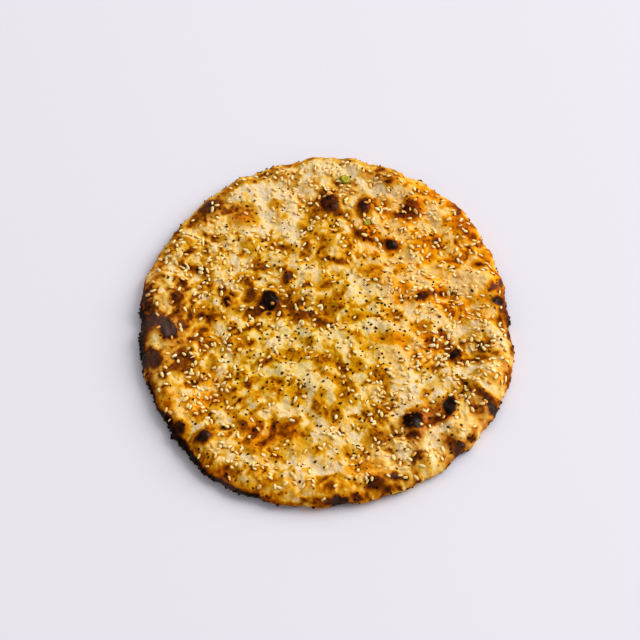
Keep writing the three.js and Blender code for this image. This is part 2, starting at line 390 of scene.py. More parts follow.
baking = {
    # toast, from pale hollows at -1 to the brown middles of spots at 1, and the bake that it gives
    "curve": [
        (-0.8, 0.06), (-0.35, 0.13), (-0.08, 0.22), (0.02, 0.39), (0.3, 0.49), (0.55, 0.63), (0.85, 0.8),
    ],
    "spotSize": 5.4, "spotLength": 1.35, "spotLayers": 3, "swirlReach": 2.4, "swirlSize": 10,
    "fieldSize": 24, "fieldShare": 0.3,
    "ribbonSize": 10, "ribbonWidth": 0.36, "ribbonBreaks": (-0.3, 0.2), "ribbonShare": 0.5,
    # creases are darker, partly by browning and partly as painted shade; pimple tops are paler as a
    # painted highlight
    "ridgeShare": 0.6, "crownBake": 0.2, "crownPatches": (24, 31, -0.4, 0.3), "creaseBakeAndShade": 0.1,
    "pimplePaintedHighlight": 0.12,
    "rimBake": 0.06, "rimReach": 14, "rimStreakBake": 0.2,
    "brownSpeckle": 0.8, "brownSpeckleSize": 6, "brownFade": (0.4, 0.66),
    "paleBake": 0.05, "paleKeep": 0.25, "paleShare": 0.75, "paleFuzz": 0.5, "paleFade": (0.75, 1.5),
    "fuzzSize": 5, "fuzzFalloff": 0.6, "bendReach": 1.1, "bendSize": 6,
    "coreEdge": 2.1, "coreSoftness": 3, "haloBake": 0.22, "haloShare": 0.35, "haloWidth": 3.4,
    "growth": 0.2, "wobble": 0.8, "fullSize": 10, "smallest": 0.25,
    "charMottle": 0.16, "charMottleSize": 2.4, "charMottleFalloff": 0.7,
    "calmBlack": 0.3, "blackRange": 0.2,
    "deepFrom": 0.85, "deepArea": 30, "deepFade": (0.7, 1.2),
}

# Where the crust is scorched: x, y, length, width, turn, and depth from 0.5, golden, to 1, black
scorches = [
    (-64, 73.5, 17, 13, 40, 0.85), (-69, 68, 14, 9, 50, 0.7), (-56, 83, 12, 5, 45, 0.62),
    (-42, 92, 22, 4, 20, 0.52), (-46, 69, 17, 14, -30, 0.57), (-50, 72, 5, 4, 0, 0.76),
    (-28, 76, 7, 5, 0, 0.6), (-18, 93, 9, 8, 0, 0.5), (2.5, 75.5, 13, 15, 0, 0.9),
    (-4, 70, 18, 13, 50, 0.62), (-10, 60, 12, 6, -40, 0.66), (-2, 52, 14, 7, -30, 0.6),
    (-24, 48, 16, 7, -25, 0.68), (-29, 50, 5, 4, 0, 0.8), (-40, 46, 10, 8, 0, 0.5),
    (-34, 33, 8, 4, 0, 0.68), (-45, 26, 9, 8, 0, 0.66), (-43, 24, 4, 4, 0, 0.82),
    (-21, 27, 11, 7, 75, 0.88), (-30.5, 11.5, 14.5, 11, 82, 1), (-30, 22, 4, 2.5, 0, 0.92),
    (-31, 4, 4, 3, 0, 0.95), (-53.4, 11.8, 7.5, 6, 90, 0.92), (-57, 17, 6, 3, -50, 0.7),
    (-80.6, 12.8, 12, 8, 80, 0.86), (-98, 16, 12, 7, 80, 0.93), (-96, -3, 17, 13, 80, 0.9),
    (-85.4, -7, 20, 11, -62, 0.95), (-92, -25, 16, 11, -60, 0.9), (-72, -12, 6, 5, 0, 0.9),
    (-69, -11, 13, 8, 30, 0.72), (-66, -5.5, 6, 5, 0, 0.85), (-66, 3, 8, 7, 0, 0.68),
    (-68, 9, 12, 5, 30, 0.6), (-46, 7, 13, 6, 10, 0.62), (-20, 9, 16, 8, 10, 0.68),
    (-22, 12, 5, 3, 0, 0.85), (0, 22, 9, 6, 20, 0.72), (-2, 11, 8, 8, 0, 0.68), (-90, 36, 12, 4, 60, 0.66),
    (-87, 43, 6, 5, 0, 0.62), (21.5, 75, 15, 10, 84, 0.88), (20, 76, 9, 3.5, 70, 0.96),
    (12, 69, 6, 5, 0, 0.66), (33, 77, 5, 5, 0, 0.66), (40.5, 68, 9, 6, -20, 0.92),
    (48, 72, 15, 13, 30, 0.78), (45, 66, 10, 7, 0, 0.66), (24, 97, 9, 8, 0, 0.62),
    (36, 92, 10, 7, -40, 0.72), (35, 89.5, 4, 3, 0, 0.9), (10, 106, 8, 5, -30, 0.55),
    (5, 57, 6, 2.5, 35, 0.88), (19, 56.5, 9, 8, 0, 0.8), (25, 53, 3, 2, 0, 0.95),
    (36, 48.5, 11.5, 7, -25, 1), (29, 51.5, 11, 6, -30, 0.7), (52, 83, 5, 4, 0, 0.75),
    (58, 84, 16, 5, -35, 0.55), (61, 51, 9, 7, -60, 0.76), (56, 51, 12, 5, 0, 0.6),
    (75, 61, 16, 12, -60, 0.62), (82, 54, 5, 7, 0, 0.8), (79, 46, 6, 2.5, -60, 0.92),
    (70, 39, 14, 5, 5, 0.66), (84, 35, 6, 4, -20, 0.82), (57, 41, 10, 6, 60, 0.6),
    (50, 47, 8, 5, -30, 0.55), (24, 32, 8, 7, 0, 0.62), (25, 32, 3, 3, 0, 0.85), (27, 26, 4, 2, 10, 0.95),
    (53, 15, 8, 6, 20, 0.93), (58, 17.5, 14, 5, 10, 0.72), (63, 17.5, 5, 4, 0, 0.85),
    (43, 21, 6, 5, 0, 0.55), (40, 14, 4, 6, 0, 0.6), (88, 40, 12, 5, -60, 0.62), (92, 21, 8, 6, 40, 0.82),
    (94, 11.5, 9, 7, 20, 0.97), (96, 25, 8, 3, 90, 0.93), (86, 14, 8, 7, 0, 0.55), (69, 4, 6, 5, 0, 0.7),
    (38, 4, 6, 4, 0, 0.75), (16, 2, 14, 5, 20, 0.62), (52, -5, 9, 8, 0, 0.62), (95, -4, 12, 5, -50, 0.75),
    (-60, -27, 6, 5, 0, 0.55), (-72, -33, 10, 8, 0, 0.58), (-66, -38, 8, 6, 0, 0.62),
    (-55, -50, 20, 10, 0, 0.52), (-45, -51, 7, 1.6, 30, 0.85), (-77, -67, 11, 8, -50, 0.92),
    (-76, -75, 14, 6, -45, 1), (-64, -73.5, 13, 8, 35, 0.97), (-61, -69, 9, 6, 40, 0.76),
    (-53, -67, 7, 2.5, 0, 0.92), (-43, -66, 11, 8, -50, 0.76), (-38, -62, 8, 6, 0, 0.6),
    (-28, -68, 18, 5, 85, 0.83), (-33, -75, 9, 6, 20, 0.84), (-21, -68, 14, 12, 40, 0.7),
    (-38, -81, 12, 5, -20, 0.6), (-25, -84, 4, 4, 0, 0.72), (-15, -45, 8, 7, 0, 0.62),
    (-27, -44, 8, 6, 0, 0.58), (-15, -22, 22, 8, 0, 0.5), (-2, -25, 10, 7, -20, 0.68),
    (-28, -99, 9, 5, 0, 0.66), (-48, -93, 8, 4, 10, 0.66), (-50, -102, 24, 6, -35, 0.95),
    (-84, -53, 8, 5, -40, 0.66), (-93, -40, 10, 5, -60, 0.75), (69, -21.5, 10, 7, 80, 0.98),
    (62, -17, 13, 7, 0, 0.72), (74, -40, 5, 4, 30, 0.95), (72, -46, 10, 6, 70, 0.66),
    (83, -24, 12, 7, 0, 0.66), (91, -22, 5, 5, 0, 0.66), (65, -55, 16, 8, 80, 1),
    (60, -57, 15, 9, 80, 0.62), (59, -62, 14, 6, 20, 0.82), (45.5, -63, 15, 12, 75, 1),
    (46, -72, 11, 6, 10, 0.86), (54, -57, 12, 9, 0, 0.66), (28, -73, 14, 11, 0, 0.66),
    (5, -59, 14, 6, 80, 0.74), (0.5, -58, 8, 3, 90, 0.72), (85, -49, 17, 6, -38, 0.86),
    (89, -55.5, 15, 7, -45, 0.97), (80, -55, 10, 6, -35, 0.7), (67.5, -77, 15, 9, -35, 0.86),
    (70, -76, 6, 5, 0, 0.95), (71, -84, 17, 7, 35, 0.95), (47, -83, 10, 4, 80, 0.68),
    (49, -86, 3, 3, 0, 0.92), (26, -100, 13, 10, 0, 0.85), (29, -103, 8, 4, 0, 0.72),
    (6, -109, 14, 6, 0, 0.97), (16, -107, 8, 4, 0, 0.85), (42, -97, 3, 3, 0, 0.9),
    (17, -28, 6, 5, 0, 0.66), (28, -34, 12, 9, -40, 0.6), (32, -42, 4, 8, 0, 0.66),
    (35, -12, 20, 8, -10, 0.48), (10, -47, 8, 14, 0, 0.55), (20, -90, 20, 8, 10, 0.52),
    (3, -98, 14, 6, 20, 0.55),
]

# Where the dough stayed pale: x, y, length, width, turn
palePatches = [
    (-38, 84, 24, 9, 10), (-30, 68, 12, 14, 0), (-57, 57, 16, 9, -20), (-45, 60, 8, 8, 0),
    (-20, 62, 10, 14, 30), (2, 103, 16, 8, 0), (-12, 84, 14, 8, 0), (-52, 47, 10, 7, 0),
    (-57, 36, 12, 7, 20), (-27, 39, 10, 6, 40), (-8, 30, 14, 9, -20), (-6, 17, 16, 6, 0),
    (-88, 12, 9, 11, 0), (-86, 31, 6, 10, 0), (-70, 46, 6, 8, 0), (28, 84, 12, 6, -30),
    (18, 101, 12, 5, -20), (15, 75, 5, 12, 0), (22, 49, 9, 5, 0), (5, 44, 8, 8, 0), (36, 24, 12, 8, -30),
    (20, 17, 14, 12, 0), (74, 24, 8, 6, 0), (89, 4, 9, 7, 0), (14, 28, 8, 6, 0), (-55, -24, 7, 16, -25),
    (-38, -20, 12, 7, 10), (-23, -14, 18, 9, 0), (-28, -33, 22, 5, 0), (-79, -44, 8, 16, 15),
    (-63, -42, 5, 12, -20), (-58, -3, 7, 9, 0), (-92, -15, 7, 8, 0), (-55, -79, 16, 11, -20),
    (-35, -86, 18, 8, -10), (-14, -79, 16, 12, 0), (-4, -69, 9, 12, 0), (-22, -56, 16, 6, 0),
    (-8, -36, 8, 7, 0), (-72, -63, 5, 13, 30), (-18, -100, 12, 8, 0), (-8, -97, 5, 14, 0),
    (20, -17, 9, 10, -30), (32, -22, 12, 7, -20), (36, -34, 8, 14, 0), (54, -38, 18, 9, -20),
    (40, -42, 18, 6, 0), (24, -45, 20, 7, 10), (13, -64, 14, 8, 0), (4, -75, 14, 12, 0),
    (36, -60, 7, 9, 0), (73, -64, 15, 9, 30), (39, -79, 10, 10, 0), (56, -74, 10, 7, 0),
    (29, -86, 14, 9, 0), (56, -90, 20, 5, 30), (72, -54, 4, 16, 10), (96, -17, 5, 16, 0),
    (91, -40, 8, 10, 0), (2, -50, 5, 7, 0), (75, -8, 12, 8, 0), (28, -5, 12, 8, 0),
]

# Broad fields of the dough, browner above 0 and paler below: x, y, length, width, turn, tone
broadTones = [
    (-92, 4, 62, 90, 0, 0.8), (-32, 8, 80, 40, 5, 0.45), (40, 2, 70, 110, -10, -0.32),
    (-34, 74, 56, 60, 20, -0.45), (2, 100, 50, 20, 0, -0.3), (4, 62, 60, 34, 0, 0.15),
    (82, 28, 44, 56, 0, -0.8), (38, 82, 32, 26, 0, -0.9), (102, 6, 18, 60, 0, 0.4),
    (96, -44, 20, 40, 8, -0.15), (72, -18, 50, 30, 0, 0.5), (54, -40, 40, 26, 0, -0.3),
    (2, -62, 32, 30, 0, -0.6), (62, -88, 34, 30, 40, -0.15), (-80, 52, 30, 60, -20, 0.1),
    (28, -102, 70, 22, 5, 0.35), (84, 52, 30, 60, 20, 0.1), (-48, -84, 46, 22, -20, -0.5),
    (-12, -100, 50, 20, 0, 0.15), (-42, -58, 50, 34, 0, -0.3), (48, 70, 70, 70, -30, -0.55),
    (103, 4, 20, 80, 0, 0.8), (-82, -28, 40, 44, 0, 0.65), (22, -60, 32, 34, 0, 0.8),
    (-16, -78, 40, 30, 0, 0.85), (-18, -26, 46, 40, 0, -0.55), (40, -20, 34, 30, 0, -0.9),
    (0, 82, 34, 24, 0, 0.75), (-42, -36, 36, 28, 0, 0.55), (-44, 20, 34, 26, 0, 0.65),
    (34, -97, 44, 22, 10, 0.5), (56, 42, 60, 44, 0, -0.3), (-60, 46, 42, 50, 0, 0.4),
    (-88, 10, 16, 20, 0, -0.2), (2, 0, 28, 24, 0, 0.55), (56, -34, 56, 36, 0, 0.35),
    (22, -1, 26, 26, 0, -0.45), (-62, -80, 26, 26, 0, 0.3), (42, -82, 26, 24, 0, 0.4),
    (62, -64, 28, 26, 0, -0.9), (-78, -58, 24, 26, 0, -0.6), (46, 96, 26, 20, -30, 0.4),
    (78, -78, 30, 24, 40, 0.5), (-100, -40, 20, 26, 0, 0.3), (-20, 62, 30, 24, 0, -0.4),
    (-42, -100, 24, 14, -20, -0.6), (-14, 2, 30, 18, 0, 0.4), (30, 40, 36, 28, 0, -0.3),
    (72, 20, 50, 26, 0, -0.6), (0, -22, 26, 26, 0, 0.35), (-80, -40, 22, 24, 0, 0.35),
    (0, -100, 26, 18, 0, 0.7), (22, -100, 22, 18, 0, -0.3), (-60, 80, 24, 22, 0, -0.9),
    (80, 40, 22, 24, 0, 0.3), (-62, 0, 24, 24, 0, 0.35), (101, -4, 18, 40, 0, 0.9),
    (-82, -62, 20, 20, 0, -0.6), (-20, -60, 22, 22, 0, -0.2), (0, 0, 24, 22, 0, 0.2),
    (22, -60, 22, 22, 0, 0.25), (42, -60, 24, 24, 0, -0.5),
]

# Where the rim is browner: angle, half width in degrees, how far in it goes, and how much browner
brownRims = [
    (42, 34, 9, 0.18), (75, 18, 10, 0.15), (100, 20, 6, 0.08), (125, 16, 7, 0.12), (150, 20, 8, 0.16),
    (9, 18, 8, 0.35), (335, 20, 9, 0.4), (305, 18, 8, 0.15), (250, 16, 12, 0.35), (215, 14, 10, 0.3),
]


def ribbons(points, seed):
    # Winding lines where a cloud passes through 0, broken off here and there
    size = baking["ribbonSize"]
    lines = dome(np.abs(cloud(points, size, seed)) / baking["ribbonWidth"])
    return lines * patches(points, 2 * size, seed + 70, *baking["ribbonBreaks"])


def doughBake(points, crowns, creases, pimples):
    # Toast = brown spots in gold on cream, plus broad fields, plus winding ribbons, less pale ridges.
    # Bake = the curve's value at that toast, with browner crowns, creases darker by browning and painted
    # shade, and pimple tops paler as a painted highlight.
    swirled = drift(points, baking["swirlReach"], baking["swirlSize"], seed=40)
    toast = pulled(swirled, baking["spotSize"], baking["spotLength"], seed=21, layers=baking["spotLayers"])
    toast += baking["fieldShare"] * clouds(points, baking["fieldSize"], seed=29)
    toast += sumOfDomes(points[:, 0], points[:, 1], broadTones)
    ridges = baking["ridgeShare"] * ribbons(swirled, seed=28)
    toast += baking["ribbonShare"] * ribbons(swirled, seed=27) - ridges
    bake = np.interp(toast, *zip(*baking["curve"]))
    bake += baking["crownBake"] * crowns * patches(points, *baking["crownPatches"])
    return bake + baking["creaseBakeAndShade"] * creases - baking["pimplePaintedHighlight"] * pimples


def brownRim(points, bake):
    # A little browner all round the rim, in streaks, and more so at the brown stretches, in speckles
    x, y = points[:, 0], points[:, 1]
    inset = insetAt(x, y)
    bake = bake + baking["rimBake"] * dome(inset / baking["rimReach"])
    bake += baking["rimStreakBake"] * rimStreaks(points)
    angle = np.degrees(np.arctan2(y, x))
    speckled = 1 + baking["brownSpeckle"] * clouds(points, baking["brownSpeckleSize"], seed=47)
    for middle, halfWidth, deep, share in brownRims:
        browner = share * dome(angleAway(angle, middle, halfWidth)) * dome(inset / deep) * speckled
        bake += browner * (1 - easeBetween(*baking["brownFade"], bake))
    return bake


def scorchedBake(points, bake, fuzz):
    # Bake is drawn towards pale on the pale patches. On each scorch it is at least the core's, soft over
    # the edge's width, and at least the halo's, which fades outwards: away is the distance past the edge.
    x, y = points[:, 0], points[:, 1]
    bent = drift(points, baking["bendReach"], baking["bendSize"], seed=46)
    mottle = clouds(points, baking["charMottleSize"], seed=48, falloff=baking["charMottleFalloff"])
    mottle = baking["charMottle"] * mottle
    lengths, widths, _, depths = (np.array(v)[:, None] for v in list(zip(*scorches))[2:])
    size = np.sqrt(lengths * widths)
    smallness = np.clip(size / baking["fullSize"], baking["smallest"], 1)
    edges = (baking["coreEdge"] + baking["coreSoftness"] * (1 - depths)) * smallness
    patchy = np.clip((1 - depths) / baking["blackRange"], baking["calmBlack"], 1)
    haloBakes = baking["haloBake"] + baking["haloShare"] * depths
    for chunk in np.array_split(np.arange(len(x)), 24):         # in parts, to save memory
        paleness = ellipseDistance(x[chunk], y[chunk], palePatches) + baking["paleFuzz"] * fuzz[chunk]
        paleness = (1 - easeBetween(*baking["paleFade"], paleness)).max(axis=0)
        pale = baking["paleBake"] + baking["paleKeep"] * bake[chunk]
        bake[chunk] += (pale - bake[chunk]) * baking["paleShare"] * paleness
        away = (ellipseDistance(bent[chunk, 0], bent[chunk, 1], scorches) - 1) * size / 2
        away = away + smallness * (baking["growth"] + baking["wobble"] * fuzz[chunk])
        core = (depths + mottle[chunk] * patchy) * (1 - easeBetween(-edges, edges, away))
        halo = haloBakes * (1 - easeBetween(0, baking["haloWidth"], away))
        bake[chunk] = np.maximum(bake[chunk], np.maximum(core, halo).max(axis=0))
    return bake


def bakeMap(points, onTop, crowns, creases, pimples):
    # The dough's own bake, then the brown rim, the pale patches and scorches, and the burnt edge
    fuzz = clouds(points, baking["fuzzSize"], seed=22, falloff=baking["fuzzFalloff"])
    bake = brownRim(points, doughBake(points, crowns, creases, pimples))
    return burnEdge(points, onTop, scorchedBake(points, bake, fuzz), fuzz)


def scorched(x, y):
    # 1 in the middle of the scorches that are both deep and large, fading to 0 round them
    deep = [
        scorch for scorch in scorches
        if scorch[5] > baking["deepFrom"] and scorch[2] * scorch[3] > baking["deepArea"]
    ]
    return (1 - easeBetween(*baking["deepFade"], ellipseDistance(x, y, deep))).max(axis=0)


# The burnt side wall, and the underside

burning = {
    "wallFade": (2, 7), "footBurn": 0.8, "footFade": (0.5, 2.6),
    "sideFade": (0.7, 1.3), "blackSoftness": 1.2, "wobble": 0.8, "sideWobble": 0.25,
    "brownShare": 0.68, "brownHeight": 4, "leastReach": 1,
    "baseBake": 0.42, "baseCloud": 0.12, "baseCloudSize": 16,
    "baseSpots": 0.55, "baseSpotSize": 11, "spotFade": (0.1, 0.55),
}

# Where the side wall is burnt: angle, half width in degrees, height up the wall, depth
burntEdges = [
    (186, 14, 9, 1), (209, 9, 6.5, 1), (222, 9, 9, 1), (233, 8, 7, 1), (245, 9, 6.5, 1), (257, 6, 3, 0.9),
    (274, 4, 4.5, 0.95), (284, 6, 2.5, 0.8), (309, 5, 5, 0.88), (328, 5, 5, 0.92), (345, 12, 2, 0.75),
    (7, 7, 5, 0.9), (17, 7, 4, 0.85), (26, 5, 3, 0.8), (63, 8, 4, 0.78), (150, 12, 4, 0.85),
    (105, 14, 2.5, 0.85),
]


def burnEdge(points, onTop, bake, fuzz):
    # The lowest part of the wall is brown all round. Up to each burnt edge's height it is black, and
    # above that it fades through brown. The underside is browned, with charred spots.
    x, y, z = points.T
    angle = np.degrees(np.arctan2(y, x))
    nearEdge = 1 - easeBetween(*burning["wallFade"], insetAt(x, y))
    burn = burning["footBurn"] * (1 - easeBetween(*burning["footFade"], z + fuzz))
    for middle, halfWidth, height, depth in burntEdges:
        away = angleAway(angle, middle, halfWidth) + burning["sideWobble"] * fuzz
        reach = height * (1 - easeBetween(*burning["sideFade"], away))
        above = z - reach + burning["wobble"] * fuzz
        black = depth * (1 - easeBetween(-burning["blackSoftness"], burning["blackSoftness"], above))
        brown = burning["brownShare"] * depth * (1 - easeBetween(0, burning["brownHeight"], above))
        burn = np.maximum(burn, np.maximum(black, brown * (reach > burning["leastReach"])))
    spots = easeBetween(*burning["spotFade"], clouds(points, burning["baseSpotSize"], seed=25))
    cloudy = burning["baseCloud"] * clouds(points, burning["baseCloudSize"], seed=26, layers=3)
    base = burning["baseBake"] + cloudy + burning["baseSpots"] * spots
    return np.maximum(np.where(onTop, bake, base), burn * nearEdge)


# What lies on the crust and tints it: butter, flour and a ruddier bake, and a grey painted sheen on the
# char

coats = {
    "patchiness": 0.7, "patchSize": 12, "patchFalloff": 0.7, "warpReach": 2.2, "warpSize": 6,
    "hollowFade": (0.4, -0.5), "hollowLeast": 0.6, "hollowGain": 0.6,
    "butterFade": (0.12, 0.4), "butterOnPale": 0.45,
    "flourFade": (0.4, 0.7),
    "ruddyCloud": 0.3, "ruddyCloudSize": 10, "ruddyFade": (0.08, 0.3), "ruddyOnPale": 0.75,
    "mostPaintedSheen": 0.8, "paintedSheenFade": (0.55, 0.82),
}

# Where each of them lies: x, y, length, width, turn, strength
butterPools = [
    (-8, -22, 150, 110, 0, 0.65), (40, -18, 60, 50, 0, 0.4), (-20, -27, 36, 16, 0, 0.6),
    (-46, -34, 44, 28, 0, 0.6), (-5, -11, 30, 16, 0, 0.4), (28, 6, 34, 12, 30, 0.5),
    (-44, -8, 30, 20, 0, 0.5), (60, 42, 100, 96, -20, 0.9), (-20, -75, 60, 30, 0, 0.3),
    (20, 5, 60, 40, 0, 0.4), (-44, 50, 80, 60, 0, 0.3), (-68, 40, 50, 70, -10, 0.5),
    (38, -18, 50, 40, 0, 0.4), (16, 14, 50, 34, 0, 0.4), (64, 4, 50, 40, 0, 0.25),
    (-76, -56, 40, 34, 0, 0.4), (-14, -26, 100, 76, 0, 0.6), (-30, 30, 70, 40, 0, 0.3),
    (74, -84, 44, 34, 40, -0.5), (64, 84, 50, 30, -40, -0.15),
]
flourDust = [
    (0, 92, 110, 50, 0, 0.8), (-95, 0, 60, 120, 0, 0.7), (-62, 70, 70, 50, 30, 0.4),
    (62, -72, 110, 60, 30, 1.0), (104, -30, 40, 90, 0, 0.9),
]
ruddyBakes = [
    (64, 46, 120, 140, 20, 1.7), (56, 88, 50, 40, -30, 0.5), (-6, -104, 130, 34, 0, 0.45),
    (44, -16, 60, 44, 0, 1.1), (96, -30, 30, 60, 0, 0.5), (30, 60, 60, 60, 0, 0.3),
    (-47, 69, 24, 18, 0, 0.9), (-96, 34, 26, 40, -20, 0.8), (-66, -8, 26, 34, 0, 0.6),
    (-68, -50, 44, 34, 0, 0.8), (-30, -70, 50, 30, 0, 0.7), (52, -60, 44, 30, 20, 0.8),
    (86, -60, 30, 34, 0, 0.7), (-88, -54, 30, 40, 30, 0.6), (-58, -96, 60, 24, -30, 0.7),
    (56, -12, 34, 20, 0, 0.5), (22, -90, 50, 24, 0, 0.5), (-8, 80, 30, 24, 0, 0.4),
]
# Where the char gets a grey painted sheen, in place of the sky's reflection
paintedSheenMarks = [
    (-97, -3, 24, 16, 80, 0.55), (-88, -4, 20, 14, -60, 0.45), (-94, -27, 18, 14, -60, 0.5),
    (94, 11, 18, 14, 20, 0.1), (70, -83, 22, 12, -30, 0.3), (89, -57, 20, 14, -40, 0.25),
    (-66, 75, 22, 14, 30, 0.35), (-98, 16, 20, 12, 80, 0.35), (-50, -102, 34, 12, -35, 0.4),
    (7, -108, 24, 12, 0, 0.3), (92, 24, 16, 20, 40, 0.4),
]


def spread(points, marks, seed):
    # The sum of the marks' domes, broken up by clouds
    warped = drift(points, coats["warpReach"], coats["warpSize"], seed=44)
    broken = 1 + coats["patchiness"] * clouds(warped, coats["patchSize"], seed, 3, coats["patchFalloff"])
    return sumOfDomes(points[:, 0], points[:, 1], marks) * broken


def lessOnPale(bake, onPale, fade):
    # The share on pale dough, rising to 1 as the bake goes through the fade
    return onPale + (1 - onPale) * easeBetween(*fade, bake)


def butterMap(points, lift, bake):
    # Butter lies in pools, more of it in the hollows of the dough and less on pale dough
    hollow = easeBetween(*coats["hollowFade"], lift)
    butter = spread(points, butterPools, seed=30) * (coats["hollowLeast"] + coats["hollowGain"] * hollow)
    return np.clip(butter, 0, 1) * lessOnPale(bake, coats["butterOnPale"], coats["butterFade"])


def flourMap(points, bake):
    # Flour dusts the dough where it isn't baked brown
    flour = np.clip(spread(points, flourDust, seed=51), 0, 1)
    return flour * (1 - easeBetween(*coats["flourFade"], bake))


def ruddyMap(points, bake):
    # A ruddier bake in broad fields with a cloud over them, less of it on pale dough
    cloudy = coats["ruddyCloud"] * clouds(points, coats["ruddyCloudSize"], seed=53, layers=3)
    ruddy = np.clip(spread(points, ruddyBakes, seed=52) + cloudy, 0, 1)
    return ruddy * lessOnPale(bake, coats["ruddyOnPale"], coats["ruddyFade"])


def paintedSheenMap(points, bake):
    # A grey painted sheen on the crust, only where it is scorched
    paintedSheen = np.clip(spread(points, paintedSheenMarks, seed=54), 0, coats["mostPaintedSheen"])
    return paintedSheen * easeBetween(*coats["paintedSheenFade"], bake)


# Meshes

def makeMesh(name, points, faces, attributes=()):
    # A smooth mesh in metres, with a value at each point for each attribute
    mesh = bpy.data.meshes.new(name)
    mesh.from_pydata((points * mm).tolist(), [], faces.tolist())
    for label, values in attributes:
        mesh.attributes.new(label, "FLOAT", "POINT").data.foreach_set("value", values.astype(np.float32))
    mesh.polygons.foreach_set("use_smooth", np.ones(len(faces), bool))
    mesh.update()
    piece = bpy.data.objects.new(name, mesh)
    bpy.context.scene.collection.objects.link(piece)
    return piece


def placePiece(piece, material):
    # Every piece rides on the bread's own body and takes the place of the solid
    piece.data.materials.append(material)
    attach(piece, "root")
    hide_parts("naan")


# Materials

def newMaterial(name):
    material = bpy.data.materials.new(name)
    material.use_nodes = True
    return material, material.node_tree, material.node_tree.nodes["Principled BSDF"]


def addNode(tree, kind, settings=None, **links):
    # A node with its settings, and its inputs linked or set by name, or by number after an i
    node = tree.nodes.new(kind)
    for key, value in (settings or {}).items():
        setattr(node, key, value)
    for key, value in links.items():
        socket = node.inputs[int(key[1:])] if key[0] == "i" and key[1:].isdigit() else node.inputs[key]
        if isinstance(value, bpy.types.NodeSocket):
            tree.links.new(value, socket)
        else:
            socket.default_value = value
    return node


def attribute(tree, name):
    return addNode(tree, "ShaderNodeAttribute", {"attribute_name": name}).outputs["Fac"]


def objectPlace(tree):
    return addNode(tree, "ShaderNodeTexCoord").outputs["Object"]


def speckle(tree, size, detail):
    # Noise whose lumps are about size millimetres wide, from 0 to 1
    place, scale = objectPlace(tree), 1 / (size * mm)
    return addNode(tree, "ShaderNodeTexNoise", Vector=place, Scale=scale, Detail=detail).outputs["Fac"]


def maths(tree, operation, first, second, third=None):
    inputs = {"i0": first, "i1": second}
    if third is not None:
        inputs["i2"] = third
    return addNode(tree, "ShaderNodeMath", {"operation": operation}, **inputs).outputs[0]


def mapRange(tree, value, low, high, bottom=0.0, top=1.0, curve="LINEAR"):
    # Value from low to high becomes bottom to top
    settings = {"interpolation_type": curve}
    node = addNode(tree, "ShaderNodeMapRange", settings, i0=value, i1=low, i2=high, i3=bottom, i4=top)
    return node.outputs[0]


def mottled(tree, value, noise, strength):
    # Value + strength x (noise - 1/2)
    return maths(tree, "MULTIPLY_ADD", noise, strength, maths(tree, "SUBTRACT", value, strength / 2))


def mixColours(tree, under, over, share, blend="MIX"):
    # Under x (1 - share) + over x share, where MULTIPLY has under x over in place of over
    settings = {"data_type": "RGBA", "blend_type": blend}
    return addNode(tree, "ShaderNodeMix", settings, Factor=share, i6=under, i7=over).outputs[2]


def linear(red, green, blue, lift=1):
    # Screen colour, 0 to 255, as linear light, times the lift
    share = np.array([red, green, blue]) / 255
    return (*lift * np.where(share <= 0.04045, share / 12.92, ((share + 0.055) / 1.055) ** 2.4), 1)


def colourRamp(tree, factor, stops):
    # The stops' colours at their places along the factor, blended in between
    node = addNode(tree, "ShaderNodeValToRGB", Fac=factor)
    ramp = node.color_ramp
    while len(ramp.elements) < len(stops):
        ramp.elements.new(1)
    for element, (position, colour) in zip(ramp.elements, stops):
        element.position = position
        element.color = linear(*colour)
    return node.outputs["Color"]


def bumpBy(tree, shader, height, strength, distance):
    node = addNode(tree, "ShaderNodeBump", Height=height, Strength=strength, Distance=distance * mm)
    tree.links.new(node.outputs["Normal"], shader.inputs["Normal"])


def setSurface(shader, look):
    # How rough and shiny it is and, where the look says so, how far light goes in
    shader.inputs["Roughness"].default_value = look["roughness"]
    shader.inputs["Specular IOR Level"].default_value = look["specular"]
    if "lightIn" in look:
        shader.inputs["Subsurface Weight"].default_value = look["lightIn"]
        shader.inputs["Subsurface Radius"].default_value = look["lightSpread"]
        shader.inputs["Subsurface Scale"].default_value = look["lightReach"] * mm


crustLook = {
    "stops": [
        (0.0, (232, 219, 190)), (0.08, (241, 221, 178)), (0.17, (242, 213, 147)), (0.27, (236, 194, 94)),
        (0.37, (225, 174, 46)), (0.47, (211, 150, 18)), (0.56, (193, 124, 6)), (0.65, (164, 96, 3)),
        (0.75, (130, 66, 4)), (0.85, (91, 42, 7)), (0.94, (50, 21, 6)), (1.0, (20, 10, 4)),
    ],
    "fineSize": 2.6, "fineMottle": 0.23, "grainSize": 1.1, "grainMottle": 0.08,
    "freckleSpacing": 4.2, "freckleFade": (0.22, 0.08), "freckleDepth": 0.35,
    "butterTint": (242, 228, 36), "butterStrength": 0.9, "dryTint": (255, 248, 238),
    "ruddyTint": (255, 227, 170), "ruddyLift": 1.2, "flourTint": (232, 219, 172), "flourShare": 0.15,
    # grey of the painted sheen on the char
    "paintedSheenTint": (98, 77, 66),
    "roughness": 0.6, "butterGloss": 0.2, "specular": 0.006,
    "charFade": (0.76, 0.92), "bumpDistance": 0.7, "grainBump": 0.4, "charSmoothness": 0.6,
    "wetSize": 5, "wetFade": (0.4, 0.65), "wetShine": (0.02, 0.22), "wetRoughness": 0.24,
    "lightIn": 0.05, "lightSpread": (1.0, 0.5, 0.15), "lightReach": 2,
}


def freckles(tree):
    # 1 in the middle of a scattered point, falling to 0 at the freckle's edge
    place, scale = objectPlace(tree), 1 / (crustLook["freckleSpacing"] * mm)
    nearest = addNode(tree, "ShaderNodeTexVoronoi", Vector=place, Scale=scale).outputs["Distance"]
    return mapRange(tree, nearest, *crustLook["freckleFade"], curve="SMOOTHSTEP")


